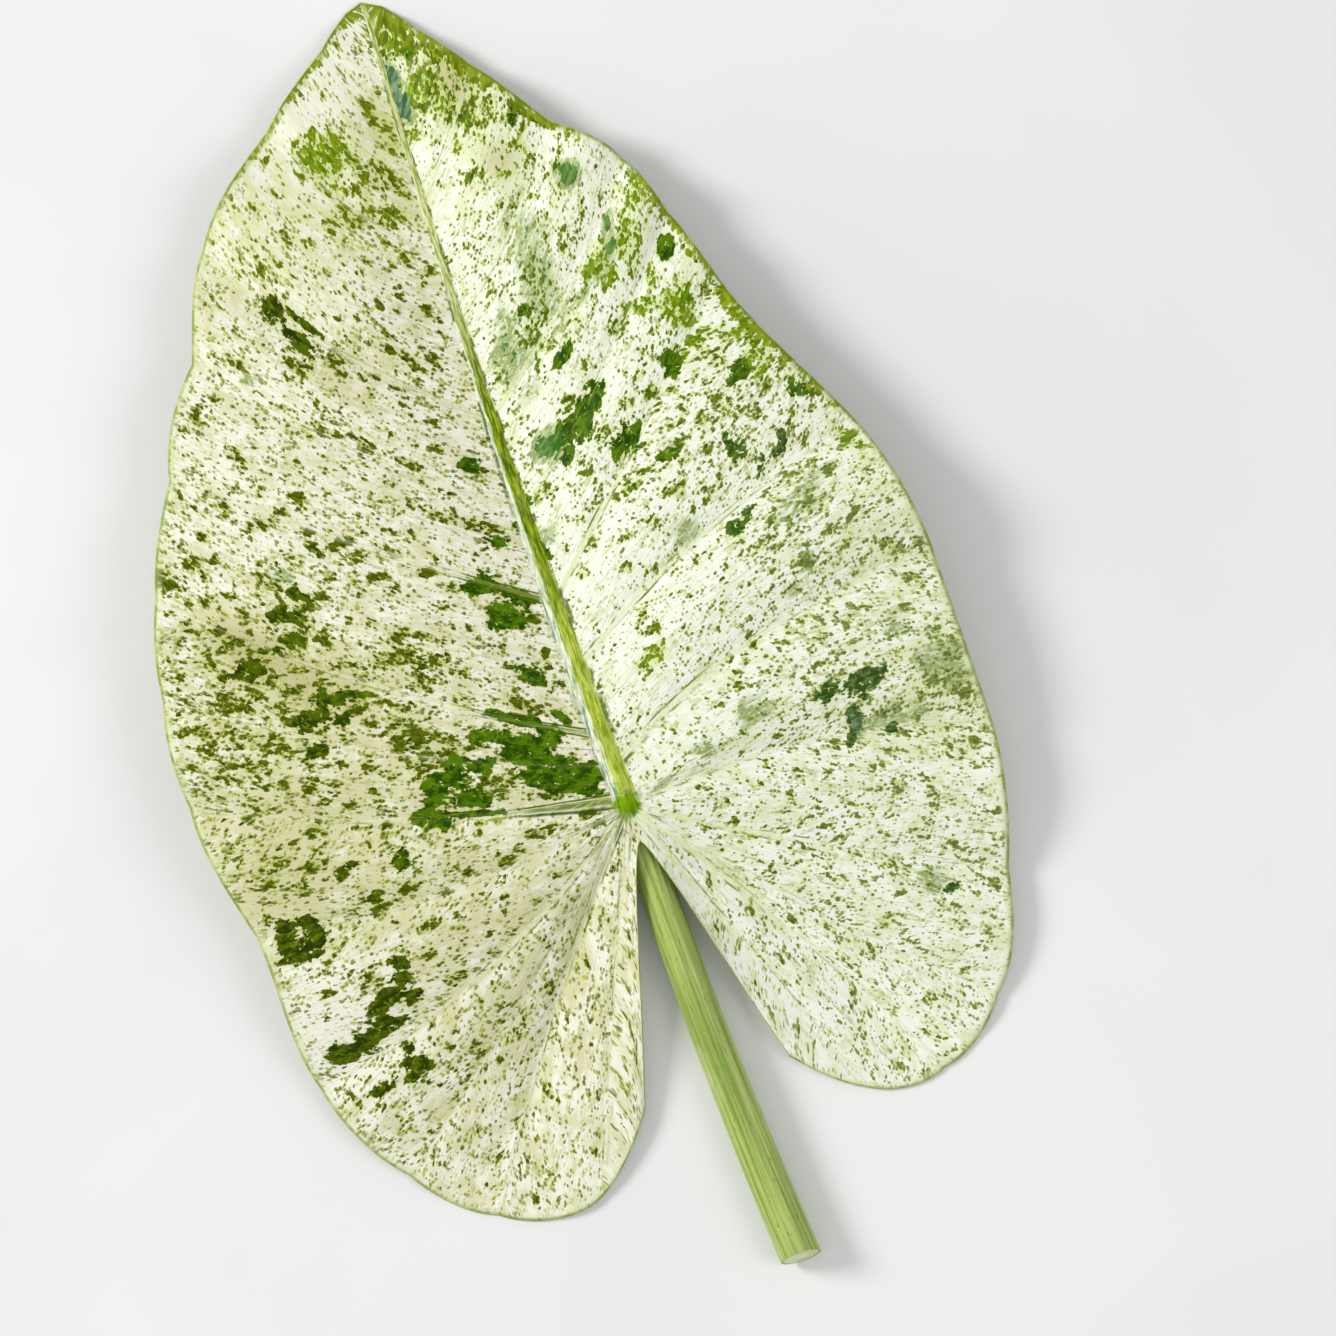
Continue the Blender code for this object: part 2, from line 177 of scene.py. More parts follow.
# Patches of the blade's top, placed one by one. For each depth, which says how solid a patch is, they
# give x and y of its middle, its length, its width and its angle from +X.
DARK_PATCHES = {
    1.3: ((17.5, 118.6, 9, 6, 45),),
    1.2: ((-25, 26.5, 15, 9, -30), (-17, 14.2, 20, 8, -14)),
    1.1: ((-113.5, -11.6, 14, 6, 12),),
    1: ((-57.7, 186, 8, 6, -60), (-49.8, 178.3, 15, 2.2, -53), (-54.4, 175.8, 8.5, 3.6, -23),
        (-52.6, 170.8, 6.5, 3.6, -5), (-14, 119.5, 7.5, 4.6, -40), (-13.1, 93.3, 7.5, 3.6, -20),
        (-23.3, 81.8, 9.5, 6, -5), (-13.5, 75.6, 17, 3.2, -37), (-19.2, 72, 8, 4.5, 0),
        (-16.9, 68.4, 11, 5, -10), (-25.5, 37.6, 18, 3.4, -30), (-17, 30.2, 8, 3.6, -30),
        (-31, 33, 10, 4.5, -20), (-15.6, 20.1, 10, 2.5, -20), (-7.5, 14.8, 6, 4, -50),
        (-56.8, 26.5, 6, 6, 0), (-55.5, 22.5, 6, 5, 0), (-46.2, 17, 14, 5, -12),
        (-63.5, 17.3, 7, 5, -10), (-58.6, 14, 9, 5, -15), (-47.5, 13, 20, 2, -15),
        (-81.2, 88.9, 8, 4, -45), (-100.9, 78, 12, 4.5, 0), (-75.9, 61.3, 16, 3.8, -10),
        (-88.4, 57.7, 8, 6.5, 0), (-88.3, 47.4, 7, 4.2, 0), (-116.5, -4, 7, 6, 0),
        (-118, -8, 6, 4.5, 80), (-107.7, -7.5, 12, 5, 75), (-85.9, -29.3, 6, 3.2, 0),
        (-100.5, -45.2, 9, 6.5, 40), (-105.5, -46.5, 13, 5.5, 14), (-113, -47, 7.5, 6.5, 0),
        (-88.3, -58.4, 6, 5, 0), (9.4, 252.2, 4.5, 4.2, 0), (34, 220.8, 6.5, 2.4, 72),
        (67.8, 165, 8, 5, 75), (18.2, 160, 4.5, 4.2, 30), (68.3, 148, 4.5, 4.2, 0),
        (25.8, 142.7, 8.5, 4.2, 35), (32.3, 127.8, 8, 3.8, 62), (26.4, 124.5, 10, 4, 62),
        (22.4, 119.8, 9, 9, 40), (27.2, 121.9, 9, 3.5, 65), (39.3, 110.7, 8, 2.6, 58),
        (57.6, 129.3, 9, 5.2, 66), (78.3, 120.5, 7, 5, 55), (-1.4, 89.4, 17, 2.4, -70),
        (84.2, 14.2, 15, 5.5, 6), (71.4, 14.6, 8.5, 4.6, 28), (87.8, -2.6, 4.5, 3.2, 50)),
    0.95: ((-93.7, 8, 5, 3.6, 0), (83.3, 95.3, 9, 2.4, 80), (74.6, -2.4, 7, 2.6, 52),
        (90.5, -57.8, 6.5, 2.6, 0)),
    0.9: ((-13.2, 72.1, 8, 2.5, -15), (-18.1, 66.3, 11, 3, -10), (-15.7, 48.4, 11, 5, -56),
        (-11.3, 33.1, 7, 3.2, -55), (-38.5, 36.3, 7, 5, 0), (-27, 18.2, 8, 4, -10),
        (-11.3, 8.6, 8, 3.5, -20), (-40.5, 26.5, 9, 4.5, 0), (-48, 29.3, 8, 5, 0),
        (-48.5, 24.5, 11, 4, -15), (-83.1, 83.3, 9, 3.5, -20), (-89.9, 81.4, 5, 2.4, -10),
        (-98.7, 81.3, 8, 2.8, 0), (-83.3, 57.6, 7, 4, 0), (-89.8, 10, 6, 2.4, 0),
        (-85.6, -2.8, 5, 4, 0), (-110.2, -2.7, 7, 2.4, 10), (-85.2, -24.7, 6, 4, 0),
        (-92.7, -35.2, 15, 5.5, 30), (-94.2, -43.5, 10, 4, 15), (-91.7, -51.6, 4, 5, 0),
        (-92.4, -56.3, 5, 4, 0), (-92.4, -61.1, 8, 3, 10), (41, 217.4, 13, 2.2, -45),
        (17.4, 113.2, 8, 4, 60), (74.2, 118.5, 4.5, 3, 20), (-0.3, 103.3, 5.5, 2.6, -70),
        (66.6, 98, 10, 2.2, 95), (86.8, 99, 4, 2, 45), (80.2, 91.9, 4.5, 2.4, 30),
        (65.6, 76.3, 6, 2.6, 35), (60.5, 73.2, 7, 4.5, 25), (77.9, 4.6, 9, 4.3, 68)),
    0.85: ((-86.9, 91.8, 7, 6, 0), (-79.1, 97, 9, 3.5, -45), (-77.6, 54.7, 7, 3.6, 0),
        (-74.1, 6.3, 6, 7, 0), (-103.1, -61.6, 9, 3.6, 15), (31.8, 106.8, 4.5, 3, 60),
        (93.8, 108.2, 7, 4, -15), (70.4, 96, 9, 2.2, 75), (74.1, 89.6, 7, 1.8, 62)),
    0.8: ((-17.5, 27.4, 8, 3, -10), (-58.5, 19.8, 7, 5, 0), (-81.2, 64.2, 5, 3, 0), (-117, -1, 5, 3, 0),
        (-84.2, -36.4, 7, 4.5, 0), (-96.8, -36.5, 8, 4, 20), (30.8, 131, 4, 3, 0),
        (47.9, 102, 9, 3.4, 0), (82.1, 9.3, 4, 3, 0)),
    0.75: ((35.8, 110.7, 9, 7, 65),),
}
OLIVE_PATCHES = {
    1.5: ((-60.3, 42.5, 12, 9, -20),),
    1.4: ((6, 253, 13, 8, -20),),
    1.3: ((-13, 216.5, 13, 9, -40), (3, 262, 10, 6, 0)),
    1.25: ((-48.5, 38, 8, 5, -30),),
    1.2: ((-74.6, 37.1, 5.6, 2.8, -20), (9.6, 238.2, 14, 12, 70), (-54, 33, 10, 6, -30)),
    1.15: ((-9.3, 233.1, 5, 2.6, -58), (-25, 191.3, 5.5, 2.8, -45), (-55.6, 144.5, 6.5, 3, -60),
        (-43.5, 135, 6.5, 5, -30), (-33.5, 127, 4.5, 3, -40), (-30.2, 124, 5, 3.6, -40),
        (-23, 127.5, 4.2, 4, 0), (-45.2, 99.2, 6.5, 3, -35), (-38.2, 90.7, 8, 3.2, 0),
        (-71.9, 93.6, 4.6, 2.8, -40), (-84.1, 68.4, 4, 2.4, 0), (-67.7, 64.3, 5, 2, -20),
        (-48.9, 62.9, 6.5, 3.2, 0), (-32.9, 26.8, 5.5, 2.8, -10), (-10.2, 54.5, 4, 3.4, 0),
        (-81.8, 14.6, 4.6, 2.4, 80), (-30.3, 0.5, 9.5, 3.4, -12), (-15.1, -4.9, 3, 2.2, 0),
        (-71.6, -16.7, 8.5, 3.2, 12), (-46.7, -16, 3.6, 3.2, 0)),
    1.1: ((-16, 99, 22, 3.4, -27), (-52.7, 73.6, 9, 2.8, -5), (-42.9, 63.1, 8.5, 4.2, -10),
        (-118.5, 48.1, 7.5, 2.8, -25), (-60.4, 42.4, 13, 9, -5), (-106.9, 8.4, 5, 2.6, 15),
        (-42.3, -5, 6.5, 4, 0), (-74.8, -3.1, 9.5, 3.6, 5), (-93.1, -4.7, 2.6, 2.6, 0),
        (-6.5, 209.5, 9, 5, -50), (-37, 19.5, 17, 7, -8)),
    1.05: ((-32.5, 205.2, 6.5, 3.2, -48), (-46.8, 206.6, 6, 2.6, -78), (-57.5, 200.7, 5.5, 3.2, -88),
        (-33.3, 175.2, 4.5, 2.2, -75), (-60.2, 163.2, 3.4, 1.8, -70), (-14.6, 155.5, 9.5, 3.4, -68),
        (-37.5, 155.7, 4, 2.4, -40), (-26.7, 149.4, 10.5, 3, -33), (-46.1, 150.1, 3.4, 2.8, 0),
        (-50.5, 141, 8, 2.4, -30), (-46, 139, 5, 2.6, -20), (-69, 126.5, 6.5, 3, -35),
        (-62, 107.5, 6.5, 4, 0), (-57, 103, 7.5, 2.4, -10), (-28.4, 106.7, 5.5, 4, -60),
        (-24.2, 106.1, 3.6, 3.4, 0), (-30.2, 83.6, 5, 4.4, 0), (-36.2, 78.7, 7.5, 2.2, -25),
        (-10.7, 66.3, 5.5, 3.2, -30), (-76.1, 91.8, 6.5, 4, -20), (-77.8, 82.1, 6, 2.4, -35),
        (-73.7, 77.4, 4.6, 2.8, -60), (-78.9, 68, 3.6, 2.8, 0), (-44.2, 71, 8, 3.2, -40),
        (-54.6, 68, 12.5, 5.5, -5), (-50, 57.5, 9.5, 4.4, -10), (-84.2, 53.5, 5.5, 2.4, 10),
        (-82, 41.2, 4.6, 2.2, 0), (-86.1, 35.3, 10.5, 2.4, 5), (-57.4, 32.7, 10.5, 5, -15),
        (-49.8, 34.6, 6.5, 2.8, -20), (-39.1, 32.6, 10, 2.8, -12), (-61.7, 29.1, 5.6, 2.8, -10),
        (-83.9, 27.8, 5.6, 3.2, 0), (-75, 29.3, 4.6, 2.4, -30), (-25, 1.2, 4.6, 3, 20),
        (-11.7, -2.3, 4.6, 3.4, 0), (-54.9, -4.1, 4.8, 3.2, 20), (-64.1, -7.5, 4.8, 4.4, 0),
        (-81.5, -47.8, 4.6, 2.2, 60), (-78.6, -56, 3.6, 2.6, 0), (-9, 238, 9, 3.5, -45)),
    1: ((-6.2, 223.3, 6.5, 2.6, -70), (-5.8, 208.4, 3.6, 2.4, -40), (-21.7, 156.5, 10, 3, -68),
        (-88.1, 106.9, 4.5, 2.6, -20), (-101.5, 55.6, 4.6, 2.4, 0), (-97.7, 53, 3.6, 2.2, 0),
        (-108.1, 48.3, 6.5, 3.6, 0), (-21.5, 40.3, 14, 4, -35), (-91.6, 31.5, 4.6, 3.2, -20),
        (-95.6, 26.8, 3.6, 2.8, 30), (-99.2, 23.2, 5.6, 3.4, 10), (-118.2, 6, 3.6, 2.6, 0),
        (-112.5, -63.3, 7.5, 3, -70), (22.6, 221.2, 5.5, 2, 72), (41.2, 121.7, 3.6, 2.2, 60),
        (71.5, 112.5, 3.6, 2.2, 70), (111.4, -15.7, 5, 4.4, 0), (-4.5, 229, 9, 3.5, -60)),
    0.95: ((-46.4, 221.9, 4.5, 2.4, -60), (-53.9, 219.7, 4, 2.6, -60), (-44.7, 232.3, 3, 3, 0),
        (-69.8, 212.5, 2.6, 2.6, 0), (-59.7, 197.4, 3.6, 3.2, 0), (-54.7, 194.1, 2.8, 2.8, 0),
        (-49.1, 193.6, 3.4, 2.4, -30), (-12.8, 187.2, 4.5, 3.2, -60), (-7.8, 182.2, 7.5, 3.8, -55),
        (-61.2, 189.8, 5, 3.2, -30), (-60.2, 183.4, 5, 4, -60), (-51.2, 167, 5.5, 2.6, -70),
        (-42.1, 168, 4.5, 2.6, -30), (-44.5, 164.1, 5.5, 2.8, -30), (-42.5, 158.7, 4.5, 2.2, -30),
        (-26.2, 161.4, 4.4, 2.4, -60), (-19.2, 154, 8, 2.4, -68), (-33, 154.9, 3.4, 2.4, -40),
        (-28, 143.8, 4, 2.4, -30), (-21.7, 136.3, 5.5, 2.2, -20), (-78, 122, 6.5, 4, 35),
        (-85, 121.6, 7.5, 4, 0), (-57.5, 108, 4.5, 4, 0), (-44.9, 106.3, 6.5, 2.2, -50),
        (-52.8, 94.1, 7, 3.2, -5), (-21.2, 90.5, 3.6, 2.6, 0), (-68.8, 70.3, 4.6, 2.2, -20),
        (-72, 55.9, 6.5, 5, 0), (-22.7, 53.8, 4.6, 3.2, -30), (-75, 18, 5.6, 2.8, 0),
        (-101.6, 13.5, 8.5, 4.2, -10), (-13, 1.6, 6.5, 3.2, -10), (-85.8, -7.1, 8.5, 4.6, 30),
        (-110.1, -26.9, 9.5, 3, 8), (68, 113.9, 4.6, 4, 60), (61, 111.1, 3.8, 2.8, 40),
        (78.3, 105.4, 4.6, 3.2, 30), (21.1, 105, 3.8, 3, 0), (98.1, 66.8, 5, 3.4, 70),
        (92.7, 47.9, 5, 2.8, 15), (103.9, -60.9, 5.4, 4.4, 0), (-14, 203, 16, 6, -25)),
    0.9: ((-6.9, 230.3, 3.5, 2, -50), (-112.4, 105.4, 6, 2.6, -20), (-107.2, 104, 6.5, 2.6, -20),
        (-86, 95, 6, 2.4, -10), (-106.4, 93.9, 7.5, 2.8, -20), (-101.5, 88.4, 7, 2.6, -20),
        (-106.1, 88.4, 6.5, 3.6, 10), (-94, 83.1, 6, 2.8, 0), (-114.3, 62.2, 5.5, 2.8, -10),
        (-123, 59.4, 7.5, 3.6, 20), (-109.3, 44.6, 4.6, 2.8, 0), (-92.6, 39.5, 4.6, 2.8, 0),
        (-111.7, 17.2, 9, 2.6, 10), (-105.6, -16.7, 5.6, 2.4, 10), (-108.2, -21, 4.8, 3.2, 80),
        (-68.9, -35.4, 8.5, 4, 20), (28.9, 228.5, 5.6, 2.4, 72), (20.3, 226, 5.6, 2.6, 72),
        (25.7, 222.2, 6, 2.8, 60), (21.4, 218.2, 4.6, 2.4, 72), (43.4, 201.1, 4.6, 3.2, 50),
        (0.6, 184, 3.2, 2.4, 0), (25.9, 163.6, 4.6, 2.4, 70), (38.5, 180, 5, 3.6, 60),
        (36, 175.6, 5, 3.6, 60), (75.6, 149, 5.6, 3.2, 60), (65, 117.2, 3.6, 2.8, 0),
        (56.8, 112.4, 4, 2.2, 60), (56.3, 115.2, 2.8, 2.4, 0), (51.5, 104.8, 3.6, 3.4, 0),
        (68.4, 86.8, 3.8, 2.4, 50), (9.7, 74.3, 5.6, 4, 60), (65.4, 65.5, 6.8, 3.2, 25),
        (45.6, 66.7, 3.8, 2.6, 90), (31.8, 68.7, 5.8, 2.6, 45), (96.4, 51, 8.5, 2.2, 35),
        (54.2, 36.1, 5.8, 2.8, 25), (-107.4, 117.2, 10.5, 5, 0), (-108, 69, 7, 5, 20),
        (16, 230, 12, 6, 60), (19, 246, 14, 6, -40)),
    0.85: ((-9.8, 214.4, 6, 3, -40), (-33.9, 184.8, 4.5, 2.8, -88), (-25.4, 175.9, 6, 2.6, -70),
        (-74.3, 172.6, 8.5, 3.4, -38), (-90.8, 162.6, 5.5, 4.2, 0), (-30.2, 69.3, 3, 2.6, 0),
        (-98.7, 103, 7.5, 2, -35), (-88.5, 68.6, 11, 2.8, 0), (-67.5, 32.3, 4.6, 3.6, 0),
        (-112.7, 34.9, 5.5, 4, 0), (-48.1, 6.6, 5.6, 3.4, 0), (-95.6, -26.9, 7.5, 6, 0),
        (48.5, 122.8, 6.5, 5, 60), (35.9, 97.6, 9.5, 3.6, 40), (71.2, 38.4, 5.6, 2.8, 30),
        (45.3, 34.2, 5.8, 2.6, 45), (102.4, -52.1, 5.8, 3.4, 20), (-20, 214, 12, 5, -30),
        (-24, 206, 20, 7, -20)),
    0.8: ((-95, 135, 7.5, 3, -20), (-92, 131, 4.5, 2.6, -20), (-92.9, 106.7, 3.4, 2.2, 0),
        (-117.3, 93.6, 3.2, 2.6, -60), (-86.5, 82.4, 6.5, 2.2, -50), (-94.2, 59.1, 8.5, 3.2, 10),
        (-8, 43.3, 4.6, 2.8, -40), (-105.5, -41.8, 4, 3.4, 0), (22.8, 236.6, 4.6, 2.4, -90),
        (36.5, 215.9, 6.5, 3, 65), (9.6, 173.6, 3.8, 3, 0), (48.5, 148, 6, 2.6, 60),
        (15, 146.7, 9, 2.2, 80), (13.6, 153, 6, 2.2, 80), (4, 143.4, 7, 2.2, 70),
        (64.7, 128.4, 5.8, 3.2, 20), (65, 109.5, 6, 2.6, 60), (94.1, 81, 4.6, 3.2, 10),
        (16.5, 84.5, 6.5, 2.8, 55), (6.7, 84.7, 4, 3.2, 0), (73.1, 64.3, 8.5, 3.2, 15),
        (92.5, 57.9, 6.8, 3.2, 20), (22.5, 58, 5.6, 2.8, 10), (23.9, 55, 3.8, 2.4, 0),
        (25.4, 50.9, 4.8, 3.4, 20), (66.2, 36.5, 4.8, 2.8, 15), (88.6, 3.7, 5.6, 3.4, 0),
        (106.9, -17.7, 3.8, 2.8, 0), (-116.9, 117, 6.5, 3.4, 0), (-101.4, 115.3, 6.5, 3.2, 0),
        (-116.7, 112.5, 9.5, 5, 0), (28, 238, 14, 6, -45), (113, 16.6, 15, 8, -70)),
    0.75: ((-10.7, 236.3, 7, 2, -50), (-20, 206, 12, 6, -30), (-43.2, 195.3, 4, 2.4, -60),
        (-55.9, 165.6, 10, 8, -40), (-84, 145.5, 9.5, 5, -20), (45.1, 146, 9, 6, 20),
        (71.8, 125.4, 7, 4.6, 45), (43.8, 90.9, 9, 3, 0), (85.6, 73.7, 10.5, 4.2, -5),
        (-109.2, 79.3, 8.5, 3.4, 0), (-97, 74, 9, 2.8, 0), (-113.6, 70.7, 13, 4.6, -10)),
    0.7: ((28.9, 233.9, 4.6, 2.8, -60), (17.2, 207.5, 6.5, 6, 60), (21.3, 194.7, 4.6, 2.6, 60),
        (32.6, 194.3, 3.6, 3.2, 0), (26.5, 174, 16, 3, 85), (30, 166, 10, 3, 80),
        (54.2, 161.5, 6.5, 5, 0), (32.8, 151.8, 5.6, 2.8, 10), (22.6, 146.6, 5.6, 2.6, 30),
        (31, 115.8, 6.5, 4, 70), (80.9, 110.2, 8.5, 3, 15), (7, 103.3, 7.5, 6, 0),
        (35.7, 83.5, 6.5, 4.2, 0), (26.2, 81.3, 6.5, 2.8, 10), (49.6, 82.9, 3.8, 3.2, 0),
        (23, 72, 4.6, 3.4, 0), (78.3, 55.9, 4.8, 5.2, 0), (114.5, 47.6, 9, 5, -75),
        (71.5, 48.7, 5.6, 3.8, 0), (83.9, -36.8, 5.6, 3.2, 0), (22, 226, 14, 6, 60),
        (24, 166, 26, 8, 84), (20, 152, 22, 8, 80), (107.8, 6.5, 18, 9, 0), (114.6, 0.5, 8.5, 8, 0)),
    0.65: ((-28.9, 118.7, 4.5, 3.2, 0), (-69, 115, 5.5, 4, 0), (-86, 103.5, 6, 2.4, 0),
        (-75, -25.7, 5.6, 4.4, 0), (60.5, 63.1, 8.5, 4, 20), (94.4, -26.3, 8, 7, 0),
        (-97.2, 49.8, 7.5, 4.2, 0)),
    0.6: ((36.4, 158.6, 8, 3.6, 30), (92.9, 112.2, 8.5, 4.6, -20), (56.5, 87.4, 5.6, 4.2, 0),
        (21.2, 51.4, 6.5, 4, 0)),
    0.55: ((-45.8, 167.2, 6, 4, 0), (-11, 170.5, 14, 4.5, -78), (-8.8, 161, 6, 4, 0)),
    0.5: ((58, 141, 10, 6, 20), (22.4, 128.5, 7, 6, 0), (107, 50, 7, 6, 0), (35.7, 21.2, 6.5, 4, 30)),
    0.45: ((74.3, 107.7, 6.5, 5, 0),),
    0.4: ((45.9, 205.3, 4.6, 4, 0),),
}
GREEN_PATCHES = {
    1.7: ((-28.5, 228.5, 14, 13.5, -30),),
    1: ((8, 240, 9, 7, 60), (-18.3, 223.2, 5.5, 3.2, -20), (64.7, 149.6, 10.5, 5.2, 20),
        (64.5, 143.9, 8.5, 6.5, 0)),
    0.9: ((5.5, 254.5, 9, 3.4, 0), (1.5, 257.5, 4.5, 6.5, 0), (14.7, 218.4, 6.5, 2.8, 72),
        (63.1, 184.1, 12.5, 5, 75), (56.4, 170.2, 12.5, 8, 60), (55, 149.8, 12.5, 4.2, -8),
        (66.7, 140.5, 6.5, 4.4, 0), (22.4, 43.1, 11.5, 4.8, 25)),
    0.8: ((12.8, 231.9, 4.5, 5.5, 0), (1.5, 226.2, 4.5, 3.4, 0), (34.2, 211.6, 6, 4, 70),
        (45.1, 168.5, 12.5, 4.6, 50), (80.5, 143, 10, 4, -65), (68.3, 133.3, 13, 5, 18),
        (85.5, 131.5, 14, 5, -58)),
    0.7: ((47.7, 162.3, 8.5, 4.6, 50), (60.3, 157.4, 9.5, 3.2, 75), (79, 131.5, 12, 4, -10),
        (85.3, 125, 8.5, 8, 0)),
    0.6: ((104, 88.4, 11, 5, -60),),
    0.45: ((60, 180, 14, 10, 60),),
    0.4: ((-28.2, 217.9, 5.5, 5, 0), (27.8, 204, 4.5, 4.5, 0), (82.7, 117.7, 6.5, 7, 0)),
}
GREY_PATCHES = {
    2.4: ((1.4, 246.4, 8.5, 4.6, 100), (1.8, 237, 14, 5, 97)),
    2.2: ((12.6, 117.2, 11, 9, 38),),
    1.9: ((45.3, 197.4, 8, 7, 72), (77.4, 2, 10, 5, 85)),
    1.7: ((52.2, 177.6, 9, 3.2, 62), (50.5, 171, 8, 3.2, 40)),
    1: ((87.5, 0.5, 10, 7, 0),),
    0.9: ((85.2, -53.8, 10, 8.5, 0),),
    0.8: ((25.5, 173, 36, 13, 88), (25, 184, 9, 3, 75), (46, 165, 12, 6, 50), (36.4, 158.6, 9, 4.6, 30),
        (30.6, 156.7, 13, 3, 52), (2.5, 89.1, 6.5, 6, 0), (78.5, 55.5, 6, 6, 0), (13.2, 3.3, 11, 3, 25),
        (110, 12, 20, 13, -60), (97.5, -1, 8, 6, 0)),
    0.7: ((-70.8, 166.8, 7, 4, 0), (11, 149, 28, 13, 80), (71.5, 48.7, 6, 5, 0),
        (46.6, 15.5, 13, 8, 10), (29, 9, 9, 5, 0)),
    0.6: ((50, 104, 8, 6, 0), (44.4, 77.2, 10, 8, 0), (98.5, 28.4, 8, 7, 0)),
    0.5: ((-83, 104, 14, 5, -20), (84, 76, 22, 12, 20)),
    0.4: ((-122.3, 95.8, 8, 4.5, 0),),
}

# Broad places where flecks crowd together (above zero) or thin out: x, y, radius, amount.
CROWDING = (
    (-105, 70, 40, 1.6), (-75, 40, 40, 0.2), (-40, 100, 50, 0.1), (-60, -20, 45, 0.1), (-30, 235, 30, -1.4),
    (61, 163, 14, -1.2), (-112, 15, 22, 0.8), (20, 235, 25, 0.8), (50, 190, 40, 0.3), (60, 110, 45, 1.2),
    (90, 60, 45, 0.7), (95, 0, 45, 0.8), (60, -40, 60, 0.5), (30, 60, 30, -0.7), (72, 139, 8, -2),
    (13, 131, 5.5, -2), (76, 96, 5, -1.5), (-116, -38, 8, -1.5),
)

# Broad places where the ground is warmer (above zero) or whiter. Where they add up past about one, the
# ground turns grey-olive:
# beige-olive tissue right of the tip, and painted shade in the folds and the low outer lobe of the left
# half.
WARMTH_AND_SHADE = (
    (-90, 40, 50, 0.9), (-60, -40, 60, 0.8), (-60, 120, 60, 0.1), (-9, 234, 12, 1.2), (-6, 206, 7, 1),
    (-35, 160, 12, 0.9), (-105, 92, 9, 1.7), (-96, 82, 9, 2), (-86, 70, 9, 1.7), (-72, 62, 8, 1.2),
    (20, 238, 15, 2.6), (26, 208, 10, 2), (-34, 240, 18, -2.2), (-12, 258, 14, -1.2), (-112, 15, 22, 0.9),
    (-112, -40, 22, -1.6), (80, 160, 26, 0.6), (60, 90, 50, -0.5), (105, 60, 26, 0.8), (108, 0, 22, 0.8),
    (70, -60, 60, 0.2),
)


def smooth_curve(knots, values, at):
    """Cubic curve through the values at the knots."""
    knots = np.asarray(knots, float)
    values = np.asarray(values, float)
    slopes = np.gradient(values, knots, axis=0)
    i = np.clip(np.searchsorted(knots, at, side="right") - 1, 0, len(knots) - 2)
    step = knots[i + 1] - knots[i]
    v = (at - knots[i]) / step
    rise = v * v * (3.0 - 2.0 * v)
    leave = v * (1.0 - v) ** 2 * step
    arrive = -v * v * (1.0 - v) * step
    if values.ndim == 2:
        rise, leave, arrive = rise[:, None], leave[:, None], arrive[:, None]
    return values[i] * (1.0 - rise) + values[i + 1] * rise + slopes[i] * leave + slopes[i + 1] * arrive


def ease(share):
    """Smooth rise from 0 to 1."""
    s = np.clip(share, 0.0, 1.0)
    return s * s * (3.0 - 2.0 * s)


def midrib_x(y):
    """The midrib's slight bow to the left."""
    along = np.clip(y / MIDRIB_LENGTH, 0.0, 1.0)
    return -MIDRIB_BOW * np.sin(math.pi * along ** 0.8)


def midrib_height(y):
    """Height of the blade's top along the midrib, without its ridge."""
    return KNOT_HEIGHT - TIP_DROP * np.clip(y / MIDRIB_LENGTH, 0.0, 1.0) ** 1.25


def ridge_half_width(y):
    return RIDGE_HALF_WIDTH * (1.0 - np.clip(y, 0.0, TIP[1]) / RIDGE_TAPER_LENGTH) ** 0.8


def keel_depth(y):
    return KEEL_DEPTH * (1.0 - np.clip(y, 0.0, TIP[1]) / KEEL_TAPER_LENGTH) ** 1.15


def midrib_distance(x, y):
    """Distance from the midrib, and behind the petiole point from that point."""
    return np.where(y > 0.0, np.abs(x - midrib_x(y)), np.hypot(x, y))


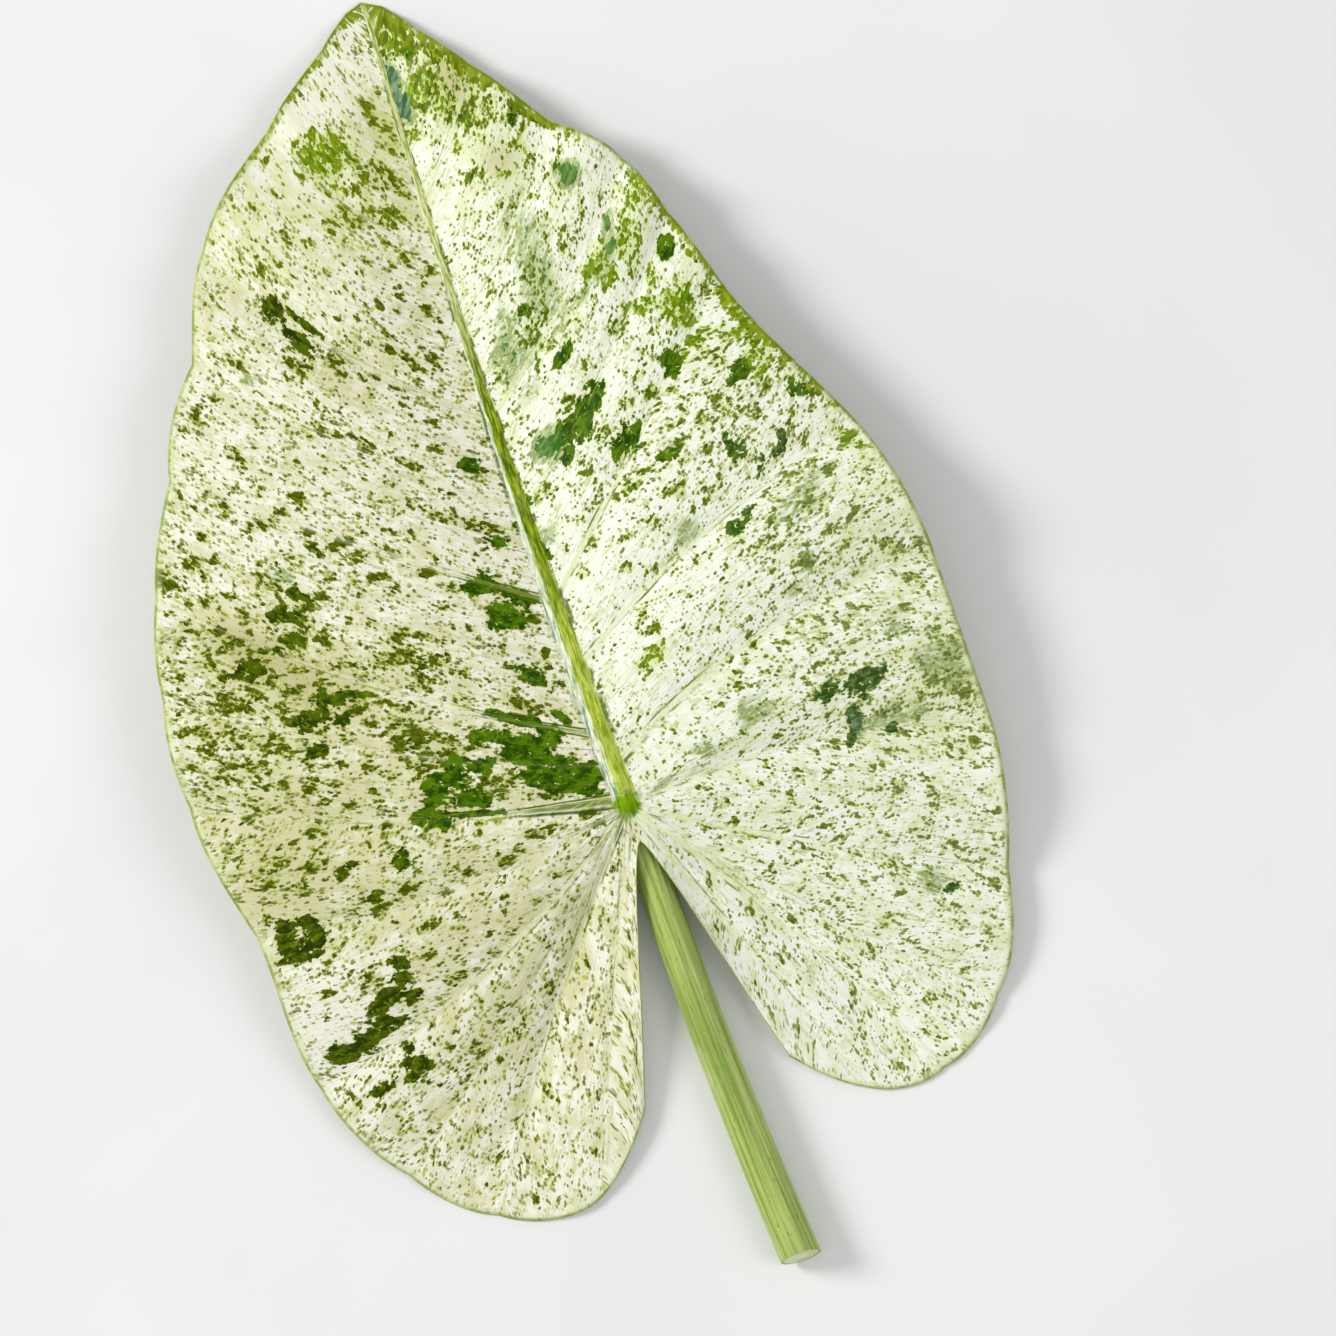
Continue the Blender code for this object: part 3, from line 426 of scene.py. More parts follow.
class Half:
    """One half of the blade. A fibre runs from the midrib to the margin at each turn, where turn is
    minus the height of its root, and goes on past zero round the fan at the knot."""

    def __init__(self, ribs):
        self.ribs = ribs
        self.turns = np.array([-rib.root for rib in ribs])
        self.ends = np.array([rib.end for rib in ribs])
        steps = np.linalg.norm(np.diff(self.ends, axis=0), axis=1)
        self.lengths = np.concatenate([[0.0], np.cumsum(steps)])

    def root(self, turn):
        y = np.maximum(0.0, -turn)
        return np.stack([midrib_x(y), y], axis=-1)

    def place(self, turn):
        """The rib before this fibre, and the fibre's share of the way to the next one."""
        i = np.clip(np.searchsorted(self.turns, turn, side="right") - 1, 0, len(self.turns) - 2)
        v = (turn - self.turns[i]) / (self.turns[i + 1] - self.turns[i])
        return i, np.clip(v, 0.0, 1.0)

    def margin(self, turn):
        i, v = self.place(turn)
        point = smooth_curve(self.lengths, self.ends, np.interp(turn, self.turns, self.lengths))
        outwards = point - self.root(turn)
        outwards /= np.linalg.norm(outwards, axis=-1)[:, None]
        swell = np.array([rib.scallop for rib in self.ribs])[i] * np.sin(math.pi * v) ** 0.8
        return point + outwards * swell[:, None]

    def fibre(self, turn, share):
        """Point at this share of the way out, for columns of fibres and rows of shares."""
        root, end = self.root(turn), self.margin(turn)
        chord = end - root
        length = np.linalg.norm(chord, axis=-1)
        sag = np.interp(turn, self.turns, [rib.sag for rib in self.ribs])
        bend = np.stack([chord[:, 1], -chord[:, 0]], axis=-1)
        bend *= np.where(bend[:, 1] > 0.0, -1.0, 1.0)[:, None] * sag[:, None] * 4.0
        s = share[..., None]
        point = root[:, None] + chord[:, None] * s + bend[:, None] * s * (1.0 - s)
        edge = self.sinus_edge(share * length[:, None], length)
        last = np.clip((turn - self.turns[-2]) / (self.turns[-1] - self.turns[-2]), 0.0, 1.0)
        last = last[:, None, None]
        return point * (1.0 - last) + edge * last

    def sinus_edge(self, distance, length):
        """Straight back over the web, then out along the lobe's inner edge."""
        start = np.array([0.0, -WEB_LENGTH])
        run = self.ends[-1] - start
        along = (distance - WEB_LENGTH) / (length[:, None] - WEB_LENGTH)
        s = np.clip(along, 0.0, 1.0)[..., None]
        across = np.array([-run[1], run[0]]) / np.linalg.norm(run)
        across *= math.copysign(1.0, across[0] * self.ends[-1][0])
        point = start + run * s + across * SINUS_ROUNDING * np.sqrt(s) * (1.0 - s) ** 2
        web = np.stack([np.zeros_like(distance), -np.minimum(distance, WEB_LENGTH)], axis=-1)
        return np.where(distance[..., None] > WEB_LENGTH, point, web)

    def shares(self, turn):
        """Shares of the way out at which the rows lie."""
        root, end = self.root(turn), self.margin(turn)
        chord = end - root
        length = np.linalg.norm(chord, axis=-1)
        lean = np.clip(length / np.maximum(np.abs(chord[:, 0]), 1e-6), 1.0, MOST_LEAN)
        stretch = np.where(turn < 0.0, lean, 1.0)
        near = np.outer(ridge_half_width(root[:, 1]) * stretch / length, NEAR_ROWS)
        out = (np.arange(FAR_ROWS) + 1.0) / FAR_ROWS
        far = near[:, -1:] + (1.0 - near[:, -1:]) * out[None, :]
        return np.concatenate([near, far], axis=1)

    def rib_spacing(self, i, share):
        """Distance between the ribs on both sides of a fibre."""
        ends = np.diff(self.lengths)
        roots = np.linalg.norm(np.diff(self.root(self.turns), axis=0), axis=1)
        return ends[i][:, None] * share + roots[i][:, None] * (1.0 - share)

    def heights(self, turn, share, x, y):
        """Top and underside of the blade."""
        i, v = self.place(turn)
        start = midrib_height(np.maximum(0.0, -turn))[:, None]
        mid = smooth_curve(self.turns, [rib.mid for rib in self.ribs], turn)[:, None]
        rim = smooth_curve(self.turns, [rib.rim for rib in self.ribs], turn)[:, None]
        curve = 2.0 * (start - 2.0 * mid + rim)
        from_knot = np.hypot(x, y)
        slope = (rim - start - curve) * share + curve * share ** 2
        surface = start + slope * ease(from_knot / KNOT_SHOULDER)

        away = midrib_distance(x, y)
        spacing = self.rib_spacing(i, share)
        hump = np.sin(math.pi * v)[:, None]
        body = np.minimum(1.0, spacing / QUILT_SPACING) * np.sin(math.pi * share ** 0.8)
        surface = surface + QUILT_HEIGHT * hump * body * ease(away / QUILT_START)
        reach = np.clip(rim / FREE_HEIGHT, LEAST_WAVE, 1.0)
        ripple = RIPPLE_HEIGHT * np.sin(2.0 * math.pi * turn / RIPPLE_LENGTH)[:, None]
        surface = surface + reach * (WAVE_HEIGHT * (hump - 0.5) + ripple) * share ** 4

        strength = np.array([rib.strength for rib in self.ribs])
        groove = np.zeros_like(share)
        rib = np.zeros_like(share)
        for each, gap in ((i, v), (i + 1, 1.0 - v)):
            apart = gap[:, None] * spacing
            groove += strength[each][:, None] * np.exp(-((apart / GROOVE_HALF_WIDTH) ** 2))
            rib += strength[each][:, None] * np.exp(-((apart / RIB_HALF_WIDTH) ** 2))
        taper = (1.0 - RIB_TAPER * share) * np.clip((from_knot - KNOT_SWELL) / KNOT_RADIUS, 0.0, 1.0)

        half_width = ridge_half_width(y)
        fade = np.clip(away / half_width - 1.0, 0.0, 1.0)
        bump = np.clip(1.0 - (away / half_width) ** 2, 0.0, 1.0) ** 2
        ridge = RIDGE_HEIGHT * (half_width / RIDGE_HALF_WIDTH) * bump
        round_keel = np.sqrt(np.clip(1.0 - (away / (half_width * KEEL_TO_RIDGE_WIDTH)) ** 2, 0.0, 1.0))
        keel = keel_depth(y) * round_keel * ease(1.0 + y / HEEL_LENGTH)
        thick = BLADE_THICKNESS + KNOT_THICKENING * np.exp(-((from_knot / KNOT_RADIUS) ** 2))

        under = np.maximum(0.0, surface - thick - keel - RIB_DEPTH * rib * taper * fade)
        top = surface + ridge - GROOVE_DEPTH * groove * taper * fade
        top = np.maximum(top, under + BLADE_THICKNESS)
        return top, under


def fibre_turns(halves):
    """Turns of the mesh's columns: every rib of both halves, and more between them."""
    knots = np.unique(np.concatenate([half.turns for half in halves]))
    turns = []
    for start, stop in zip(knots[:-1], knots[1:]):
        pair = np.array([start, stop])
        width = max(np.linalg.norm(np.diff(half.margin(pair), axis=0)) for half in halves)
        count = max(3, math.ceil(width / COLUMN_WIDTH))
        turns.extend(start + (stop - start) * np.arange(count) / count)
    return np.array(turns + [knots[-1]])


def patch_reach(patches, x, y):
    """How deep inside the nearest patch each point lies: its depth in the middle of one, zero half
    way out from its edge, and below zero beyond."""
    reach = np.full_like(x, -1.0)
    for depth, group in patches.items():
        for middle_x, middle_y, long, wide, angle in group:
            a = math.radians(angle)
            along = (x - middle_x) * math.cos(a) + (y - middle_y) * math.sin(a)
            across = (y - middle_y) * math.cos(a) - (x - middle_x) * math.sin(a)
            away = np.hypot(along / (long / 2.0), across / (wide / 2.0))
            reach = np.maximum(reach, depth * (1.0 - away / PATCH_FADE))
    return reach


class Surface:
    """Grid points of both halves of the blade, with what the markings need at each of them."""

    def __init__(self):
        self.halves = (Half(LEFT_RIBS), Half(RIGHT_RIBS))
        self.turns = fibre_turns(self.halves)
        sides = [self.measure(half) for half in self.halves]
        self.values = {name: np.stack([side[name] for side in sides]) for name in sides[0]}
        self.shape = self.values["x"].shape

    def measure(self, half):
        share = half.shares(self.turns)
        plan = half.fibre(self.turns, share)
        x, y = plan[..., 0], plan[..., 1]
        top, under = half.heights(self.turns, share, x, y)
        root, end = half.root(self.turns), half.margin(self.turns)
        length = np.linalg.norm(end - root, axis=-1)[:, None]
        steps = np.hypot(np.diff(x, axis=1), np.diff(y, axis=1))
        along = np.concatenate([np.zeros((len(x), 1)), np.cumsum(steps, axis=1)], axis=1)
        values = {"x": x, "y": y, "top": top, "under": under}
        values["to_margin"] = (1.0 - share) * length
        values["out_share"] = share
        tangent = np.stack([np.gradient(x, axis=1), np.gradient(y, axis=1)], axis=-1)
        tangent /= np.linalg.norm(tangent, axis=-1)[..., None]
        for name, at_end in (("start", False), ("end", True)):
            i, v = self.cell_place(half, at_end)
            cell = half.fibre(half.turns[i + 1], share) - half.fibre(half.turns[i], share)
            lean = (cell * tangent).sum(axis=-1)
            spacing = np.sqrt(np.maximum((cell ** 2).sum(axis=-1) - lean ** 2, 0.0))
            strength = np.array([rib.strength for rib in half.ribs])
            nearer_next = v > 0.5
            gap = np.where(nearer_next, v - 1.0, v)[:, None] * spacing
            values["rib_gap_" + name] = gap
            values["rib_strength_" + name] = np.broadcast_to(
                np.where(nearer_next, strength[i + 1], strength[i])[:, None], x.shape)
            values["along_" + name] = along + (v[:, None] - 0.5) * lean
            values["across_" + name] = (v[:, None] - 0.5) * spacing + CELL_STEP * i[:, None]
        return values

    def cell_place(self, half, at_end):
        """Rib cell and share of each column, seen as the start or the end of a strip of the mesh."""
        i, v = half.place(self.turns)
        if at_end:
            on_rib = (v < 1e-9) & (i > 0)
            i = np.where(on_rib, i - 1, i)
            v = np.where(on_rib, 1.0, v)
        return i, v


class BladeMesh:
    """Closed mesh of the blade: top, underside and rounded rim, with the markings' values."""

    def __init__(self, grid):
        self.grid = grid
        sides, columns, rows = grid.shape
        self.last, self.rows = columns - 1, rows
        self.ids = np.arange(sides * columns * rows).reshape(grid.shape)
        self.tip = self.ids.size
        self.vertex = self.shared_vertices()
        self.count = self.vertex.max() + 1
        self.faces, self.corners, self.slots = [], [], []

    def shared_vertices(self):
        """Vertex of each grid point. Both halves share the midrib's, the knot's and the web's."""
        ids = self.ids.copy()
        fan = self.grid.turns >= 0.0
        ids[:, fan, 0] = ids[0, np.argmax(fan), 0]
        ids[1, :, 0] = ids[0, :, 0]
        ids[1, -1, :len(NEAR_ROWS)] = ids[0, -1, :len(NEAR_ROWS)]
        return np.unique(np.append(ids.ravel(), self.tip), return_inverse=True)[1]

    def points(self):
        """Upper points, lower points and the ring round the rim."""
        x, y, top, under = (self.grid.values[name].ravel() for name in ("x", "y", "top", "under"))
        upper, lower = np.zeros((self.count, 3)), np.zeros((self.count, 3))
        upper[self.vertex[:-1]] = np.stack([x, y, top], axis=-1)
        lower[self.vertex[:-1]] = np.stack([x, y, under], axis=-1)
        upper[self.vertex[-1]] = (*TIP, TIP_TOP)
        lower[self.vertex[-1]] = (*TIP, 0.0)
        edge = self.edge()
        ring = (upper[self.vertex[edge]] + lower[self.vertex[edge]]) / 2.0
        tangent = np.roll(ring, -1, axis=0) - np.roll(ring, 1, axis=0)
        outward = np.stack([tangent[:, 1], -tangent[:, 0], np.zeros(len(ring))], axis=-1)
        outward /= np.maximum(np.linalg.norm(outward, axis=-1), 1e-9)[:, None]
        ring += outward * RIM_SWELL
        return np.concatenate([upper, lower, ring])

    def edge(self):
        """Grid points round the margin, against the clock seen from above."""
        web = len(NEAR_ROWS) - 1
        right_sinus = self.ids[1, -1, web:-1]
        right = self.ids[1, ::-1, -1]
        left = self.ids[0, :, -1]
        left_sinus = self.ids[0, -1, -2:web:-1]
        return np.concatenate([right_sinus, right, [self.tip], left, left_sinus])

    def add_face(self, grid_ids, at_end, level, slot):
        """Face without the corners that fall together."""
        vertices = self.vertex[grid_ids] + level * self.count
        kept = [k for k in range(len(grid_ids)) if vertices[k] not in vertices[:k]]
        if len(kept) > 2:
            self.faces.append([int(vertices[k]) for k in kept])
            self.corners.extend((grid_ids[k], at_end[k]) for k in kept)
            self.slots.append(slot)

    def add_surfaces(self):
        for side in (0, 1):
            for i in range(self.last):
                for j in range(self.rows - 1):
                    a, b = self.ids[side, i, j], self.ids[side, i + 1, j]
                    c, d = self.ids[side, i + 1, j + 1], self.ids[side, i, j + 1]
                    quad, at_end = [a, b, c, d], [False, True, True, False]
                    self.add_pair(quad, at_end, side)
            for j in range(self.rows - 1):
                a, b = self.ids[side, 0, j], self.ids[side, 0, j + 1]
                self.add_pair([self.tip, a, b], [False, False, False], side)

    def add_pair(self, grid_ids, at_end, side):
        """The same face on the top and on the underside."""
        back, back_end = grid_ids[::-1], at_end[::-1]
        up, down = ((back, back_end), (grid_ids, at_end)) if side == 0 else (
            (grid_ids, at_end), (back, back_end))
        self.add_face(*up, level=0, slot=0)
        self.add_face(*down, level=1, slot=1)

    def add_rim(self):
        edge = self.edge()
        ring = 2 * self.count
        for k, here in enumerate(edge):
            after = (k + 1) % len(edge)
            there = edge[after]
            upper = (self.vertex[here], self.vertex[there])
            lower = (upper[0] + self.count, upper[1] + self.count)
            middle = (ring + k, ring + after)
            for low, high in ((middle, upper), (lower, middle)):
                self.faces.append([int(low[0]), int(low[1]), int(high[1]), int(high[0])])
                self.corners.extend([(here, False), (there, True), (there, True), (here, False)])
                self.slots.append(2)

    def corner_values(self):
        """Value of each marking at each corner, in the faces' order."""
        ids = np.array([corner[0] for corner in self.corners])
        at_end = np.array([corner[1] for corner in self.corners])
        found = {}
        for name, values in self.grid.values.items():
            flat = np.append(values.ravel(), 0.0)
            found[name] = flat[ids]
        found["x"] = np.where(ids == self.tip, TIP[0], found["x"])
        found["y"] = np.where(ids == self.tip, TIP[1], found["y"])
        for name in ("rib_gap", "rib_strength", "along", "across"):
            found[name] = np.where(at_end, found.pop(name + "_end"), found.pop(name + "_start"))
        return found

    def build(self, name):
        self.add_surfaces()
        self.add_rim()
        mesh = bpy.data.meshes.new(name)
        mesh.from_pydata(to_world(self.points()), [], self.faces)
        mesh.polygons.foreach_set("material_index", self.slots)
        mesh.shade_smooth()
        values = self.corner_values()
        x, y = values["x"], values["y"]
        off = np.where(y > 0.0, x - midrib_x(y), np.hypot(x, y) * np.sign(x))
        add_pairs(mesh, "plan", x, y)
        add_pairs(mesh, "fibre", values["along"], values["across"])
        for label in ("rib_gap", "rib_strength", "to_margin", "out_share"):
            add_values(mesh, label, values[label])
        for label, patches in (("dark_reach", DARK_PATCHES), ("olive_reach", OLIVE_PATCHES),
                               ("green_reach", GREEN_PATCHES), ("grey_reach", GREY_PATCHES)):
            add_values(mesh, label, patch_reach(patches, x, y))
        add_values(mesh, "midrib_off", off)
        add_values(mesh, "crowding", broad_field(CROWDING, x, y))
        add_values(mesh, "warmth_and_shade", broad_field(WARMTH_AND_SHADE, x, y))
        add_values(mesh, "green_edge", green_edge(x, y, values["to_margin"]))
        return mesh


def add_values(mesh, name, values):
    layer = mesh.attributes.new(name, "FLOAT", "CORNER")
    layer.data.foreach_set("value", np.ascontiguousarray(values, np.float32))


def add_pairs(mesh, name, first, second):
    layer = mesh.attributes.new(name, "FLOAT2", "CORNER")
    layer.data.foreach_set("vector", np.stack([first, second], axis=-1).astype(np.float32).ravel())


def broad_field(places, x, y):
    """Sum of soft round places, each with its own radius and amount."""
    field = np.zeros_like(x)
    for middle_x, middle_y, radius, amount in places:
        field += amount * np.exp(-((x - middle_x) ** 2 + (y - middle_y) ** 2) / radius ** 2)
    return field


def green_edge(x, y, to_margin):
    """Green band along the margin: strong on the right down to a third of the way, faint on the left,
    and right across the tip."""
    on_left = x < midrib_x(y)
    side = np.where(x > midrib_x(y), 1.0, 0.25)
    upper = ease((y - 200.0) / 20.0)
    lower = ease((y - 90.0) / 15.0) * ease((200.0 - y) / 15.0) * 0.7
    width = 4.5 + 5.0 * ease((y - 238.0) / 14.0)
    right = side * (upper + lower) * np.exp(-((to_margin / width) ** 2))
    left = 0.65 * on_left * ease((y - 215.0) / 20.0) * np.exp(-((to_margin / 2.6) ** 2))
    tip = 1.5 * ease((y - np.where(on_left, 264.0, 256.0)) / 7.0)
    return np.maximum(right, np.maximum(tip, left))


def leaf_offset():
    """Shift from the leaf's own X and Y to the frame's."""
    low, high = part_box("blade")
    x, y = surface.values["x"], surface.values["y"]
    middle_x = (x.min() + x.max()) / 2.0
    middle_y = (y.min() + TIP[1]) / 2.0
    return Vector(((low.x + high.x) / 2.0 - middle_x * MM, (low.y + high.y) / 2.0 - middle_y * MM, 0.0))


def to_world(points):
    return np.asarray(points) * MM + np.array(OFFSET)


class Wire:
    """Output of a shader node. It is summed, multiplied and mixed as a number is."""

    def __init__(self, paint, socket):
        self.paint, self.socket = paint, socket

    def other(self, name):
        """Another output of the same node."""
        return Wire(self.paint, self.socket.node.outputs[name])

    def math(self, operation, *term):
        return self.paint.make("Math", dict(enumerate((self, *term))), operation=operation)

    def __add__(self, term):
        return self.math("ADD", term)

    def __sub__(self, term):
        return self.math("SUBTRACT", term)

    def __mul__(self, term):
        return self.math("MULTIPLY", term)

    def __truediv__(self, term):
        return self.math("DIVIDE", term)

    def __abs__(self):
        return self.math("ABSOLUTE")

    def most(self, term):
        return self.math("MAXIMUM", term)

    def least(self, term):
        return self.math("MINIMUM", term)

    def rise(self, low, high, first=0, last=1):
        """Smooth step from first to last as the value goes from low to high."""
        terms = dict(enumerate((self, low, high, first, last)))
        return self.paint.make("MapRange", terms, interpolation_type="SMOOTHSTEP")

    def fall(self, low, high, last=0):
        return self.rise(low, high, 1, last)

    def mix(self, first, second):
        """Colour from first to second as the value goes from 0 to 1."""
        return self.paint.make("Mix", {0: self, 6: first, 7: second}, 2, data_type="RGBA")

    def axis(self, index):
        return self.paint.make("SeparateXYZ", {0: self}, index)

    def length(self):
        return self.paint.make("VectorMath", {0: self}, "Value", operation="LENGTH")

    def stretched(self, long, wide, seed):
        """This place, counted in lengths along the fibres and widths across them."""
        along = self.axis(0)
        return self.paint.make("CombineXYZ", {0: along / long, 1: along.other(1) / wide, 2: seed})

    def noise(self, scale, detail, rough, bend=0):
        terms = {"Vector": self, "Scale": scale, "Detail": detail, "Roughness": rough, "Distortion": bend}
        return self.paint.make("TexNoise", terms)

    def cloud(self, long, wide, seed, detail=3, rough=0.6, bend=0):
        """Noise with clouds of this length along the fibres and this width across them."""
        return self.stretched(long, wide, seed).noise(1, detail, rough, bend)


class Paint:
    """Maker of shader nodes in one tree. Colours are from 0 to 255, as they look on a screen."""

    def __init__(self, tree):
        self.tree = tree

    def make(self, kind, terms, output=0, **settings):
        """New node with these terms at its inputs. One of its outputs comes back."""
        made = self.tree.nodes.new("ShaderNode" + kind)
        for name, value in settings.items():
            setattr(made, name, value)
        for name, term in terms.items():
            self.feed(made.inputs[name], term)
        return Wire(self, made.outputs[output])

    def feed(self, socket, term):
        if isinstance(term, Wire):
            self.tree.links.new(term.socket, socket)
        elif socket.type == "RGBA":
            socket.default_value = to_linear(term)
        else:
            socket.default_value = term

    def value(self, name):
        """A value that the mesh holds at each corner."""
        return self.make("Attribute", {}, "Fac", attribute_name=name)

    def place(self, name):
        """A pair of millimetres that the mesh holds at each corner."""
        return self.make("UVMap", {}, uv_map=name)

    def group(self, group, **terms):
        """A node group with these terms at its inputs. Its first output comes back."""
        return self.make("Group", terms, node_tree=group)


def to_linear(shown):
    """Colour as a shader takes it."""
    shown = np.array(shown) / 255.0
    linear = np.where(shown <= 0.04045, shown / 12.92, ((shown + 0.055) / 1.055) ** 2.4)
    return (*linear, 1.0)


def new_group(name, inputs, outputs):
    """Node group with these defaults at its inputs, where one without a default is a place."""
    tree = bpy.data.node_groups.new(name, "ShaderNodeTree")
    for label, default in inputs.items():
        kind = "NodeSocketVector" if default is None else "NodeSocketFloat"
        socket = tree.interface.new_socket(label, in_out="INPUT", socket_type=kind)
        if default is not None:
            socket.default_value = default
    for label in outputs:
        tree.interface.new_socket(label, in_out="OUTPUT", socket_type="NodeSocketFloat")
    paint, start = Paint(tree), tree.nodes.new("NodeGroupInput")
    given = [Wire(paint, start.outputs[label]) for label in inputs]
    return tree, given, tree.nodes.new("NodeGroupOutput").inputs


def make_pigment_group():
    """Pigment cells: rounded dots, drawn out a little along the fibres. The more crowded they are, the
    more of them there are and the larger, until they run together into a lacy patch."""
    group, given, out = new_group(
        "pigment_cells",
        {"Place": None, "Length": 1.6, "Width": 1.2, "Crowd": 0.2, "Growth": 1.5, "Softness": 0.08,
         "Seed": 0},
        ("Mask", "Tone", "Core"))
    place, long, wide, crowd, growth, softness, seed = given
    paint = place.paint
    place = place.stretched(long, wide, seed)
    wobble = place.noise(1.3, 2, 0.5).other("Color")
    bent = paint.make("VectorMath", {0: wobble, 1: (0.5, 0.6, 0.0), 2: place}, operation="MULTIPLY_ADD")
    cells = paint.make("TexVoronoi", {"Vector": bent, "Scale": 1}, voronoi_dimensions="2D")
    chance = paint.make("SeparateColor", {0: cells.other("Color")})
    radius = (crowd - chance) * growth
    nibble = place.noise(2.4, 2, 0.6)
    inside = (radius - cells + (nibble * 0.5 - 0.25)).least(radius * 2)
    paint.feed(out["Mask"], inside.rise(0, softness))
    paint.feed(out["Tone"], chance.other(1))
    paint.feed(out["Core"], inside.rise(0.06, 0.38))
    return group


def make_relief_group():
    """Height of the fine surface: fibre ridges, tissue cells and a slight swell."""
    group, given, out = new_group("leaf_relief", {"Fibre": None, "Plan": None, "Ridges": 1}, ("Height",))
    fibre, plan, ridges = given
    height = fibre.cloud(14, 0.8, 3, 3, 0.55) * ridges + plan.cloud(0.9, 0.9, 5, 2, 0.5) * 0.35
    height = height + fibre.cloud(22, 9, 8, 2, 0.5) * 2.5
    height.paint.feed(out["Height"], height)
    return group


def new_material(name, roughness, specular):
    material = bpy.data.materials.new(name)
    material.use_nodes = True
    shader = material.node_tree.nodes["Principled BSDF"]
    shader.inputs["Roughness"].default_value = roughness
    shader.inputs["Specular IOR Level"].default_value = specular
    return material, Paint(material.node_tree), shader


def coat(paint, shader, tone, height, strength, distance):
    """Colour and bump of a shader."""
    bump = paint.make("Bump", {"Strength": strength, "Distance": distance, "Height": height})
    paint.feed(shader.inputs["Base Color"], tone)
    paint.feed(shader.inputs["Normal"], bump)


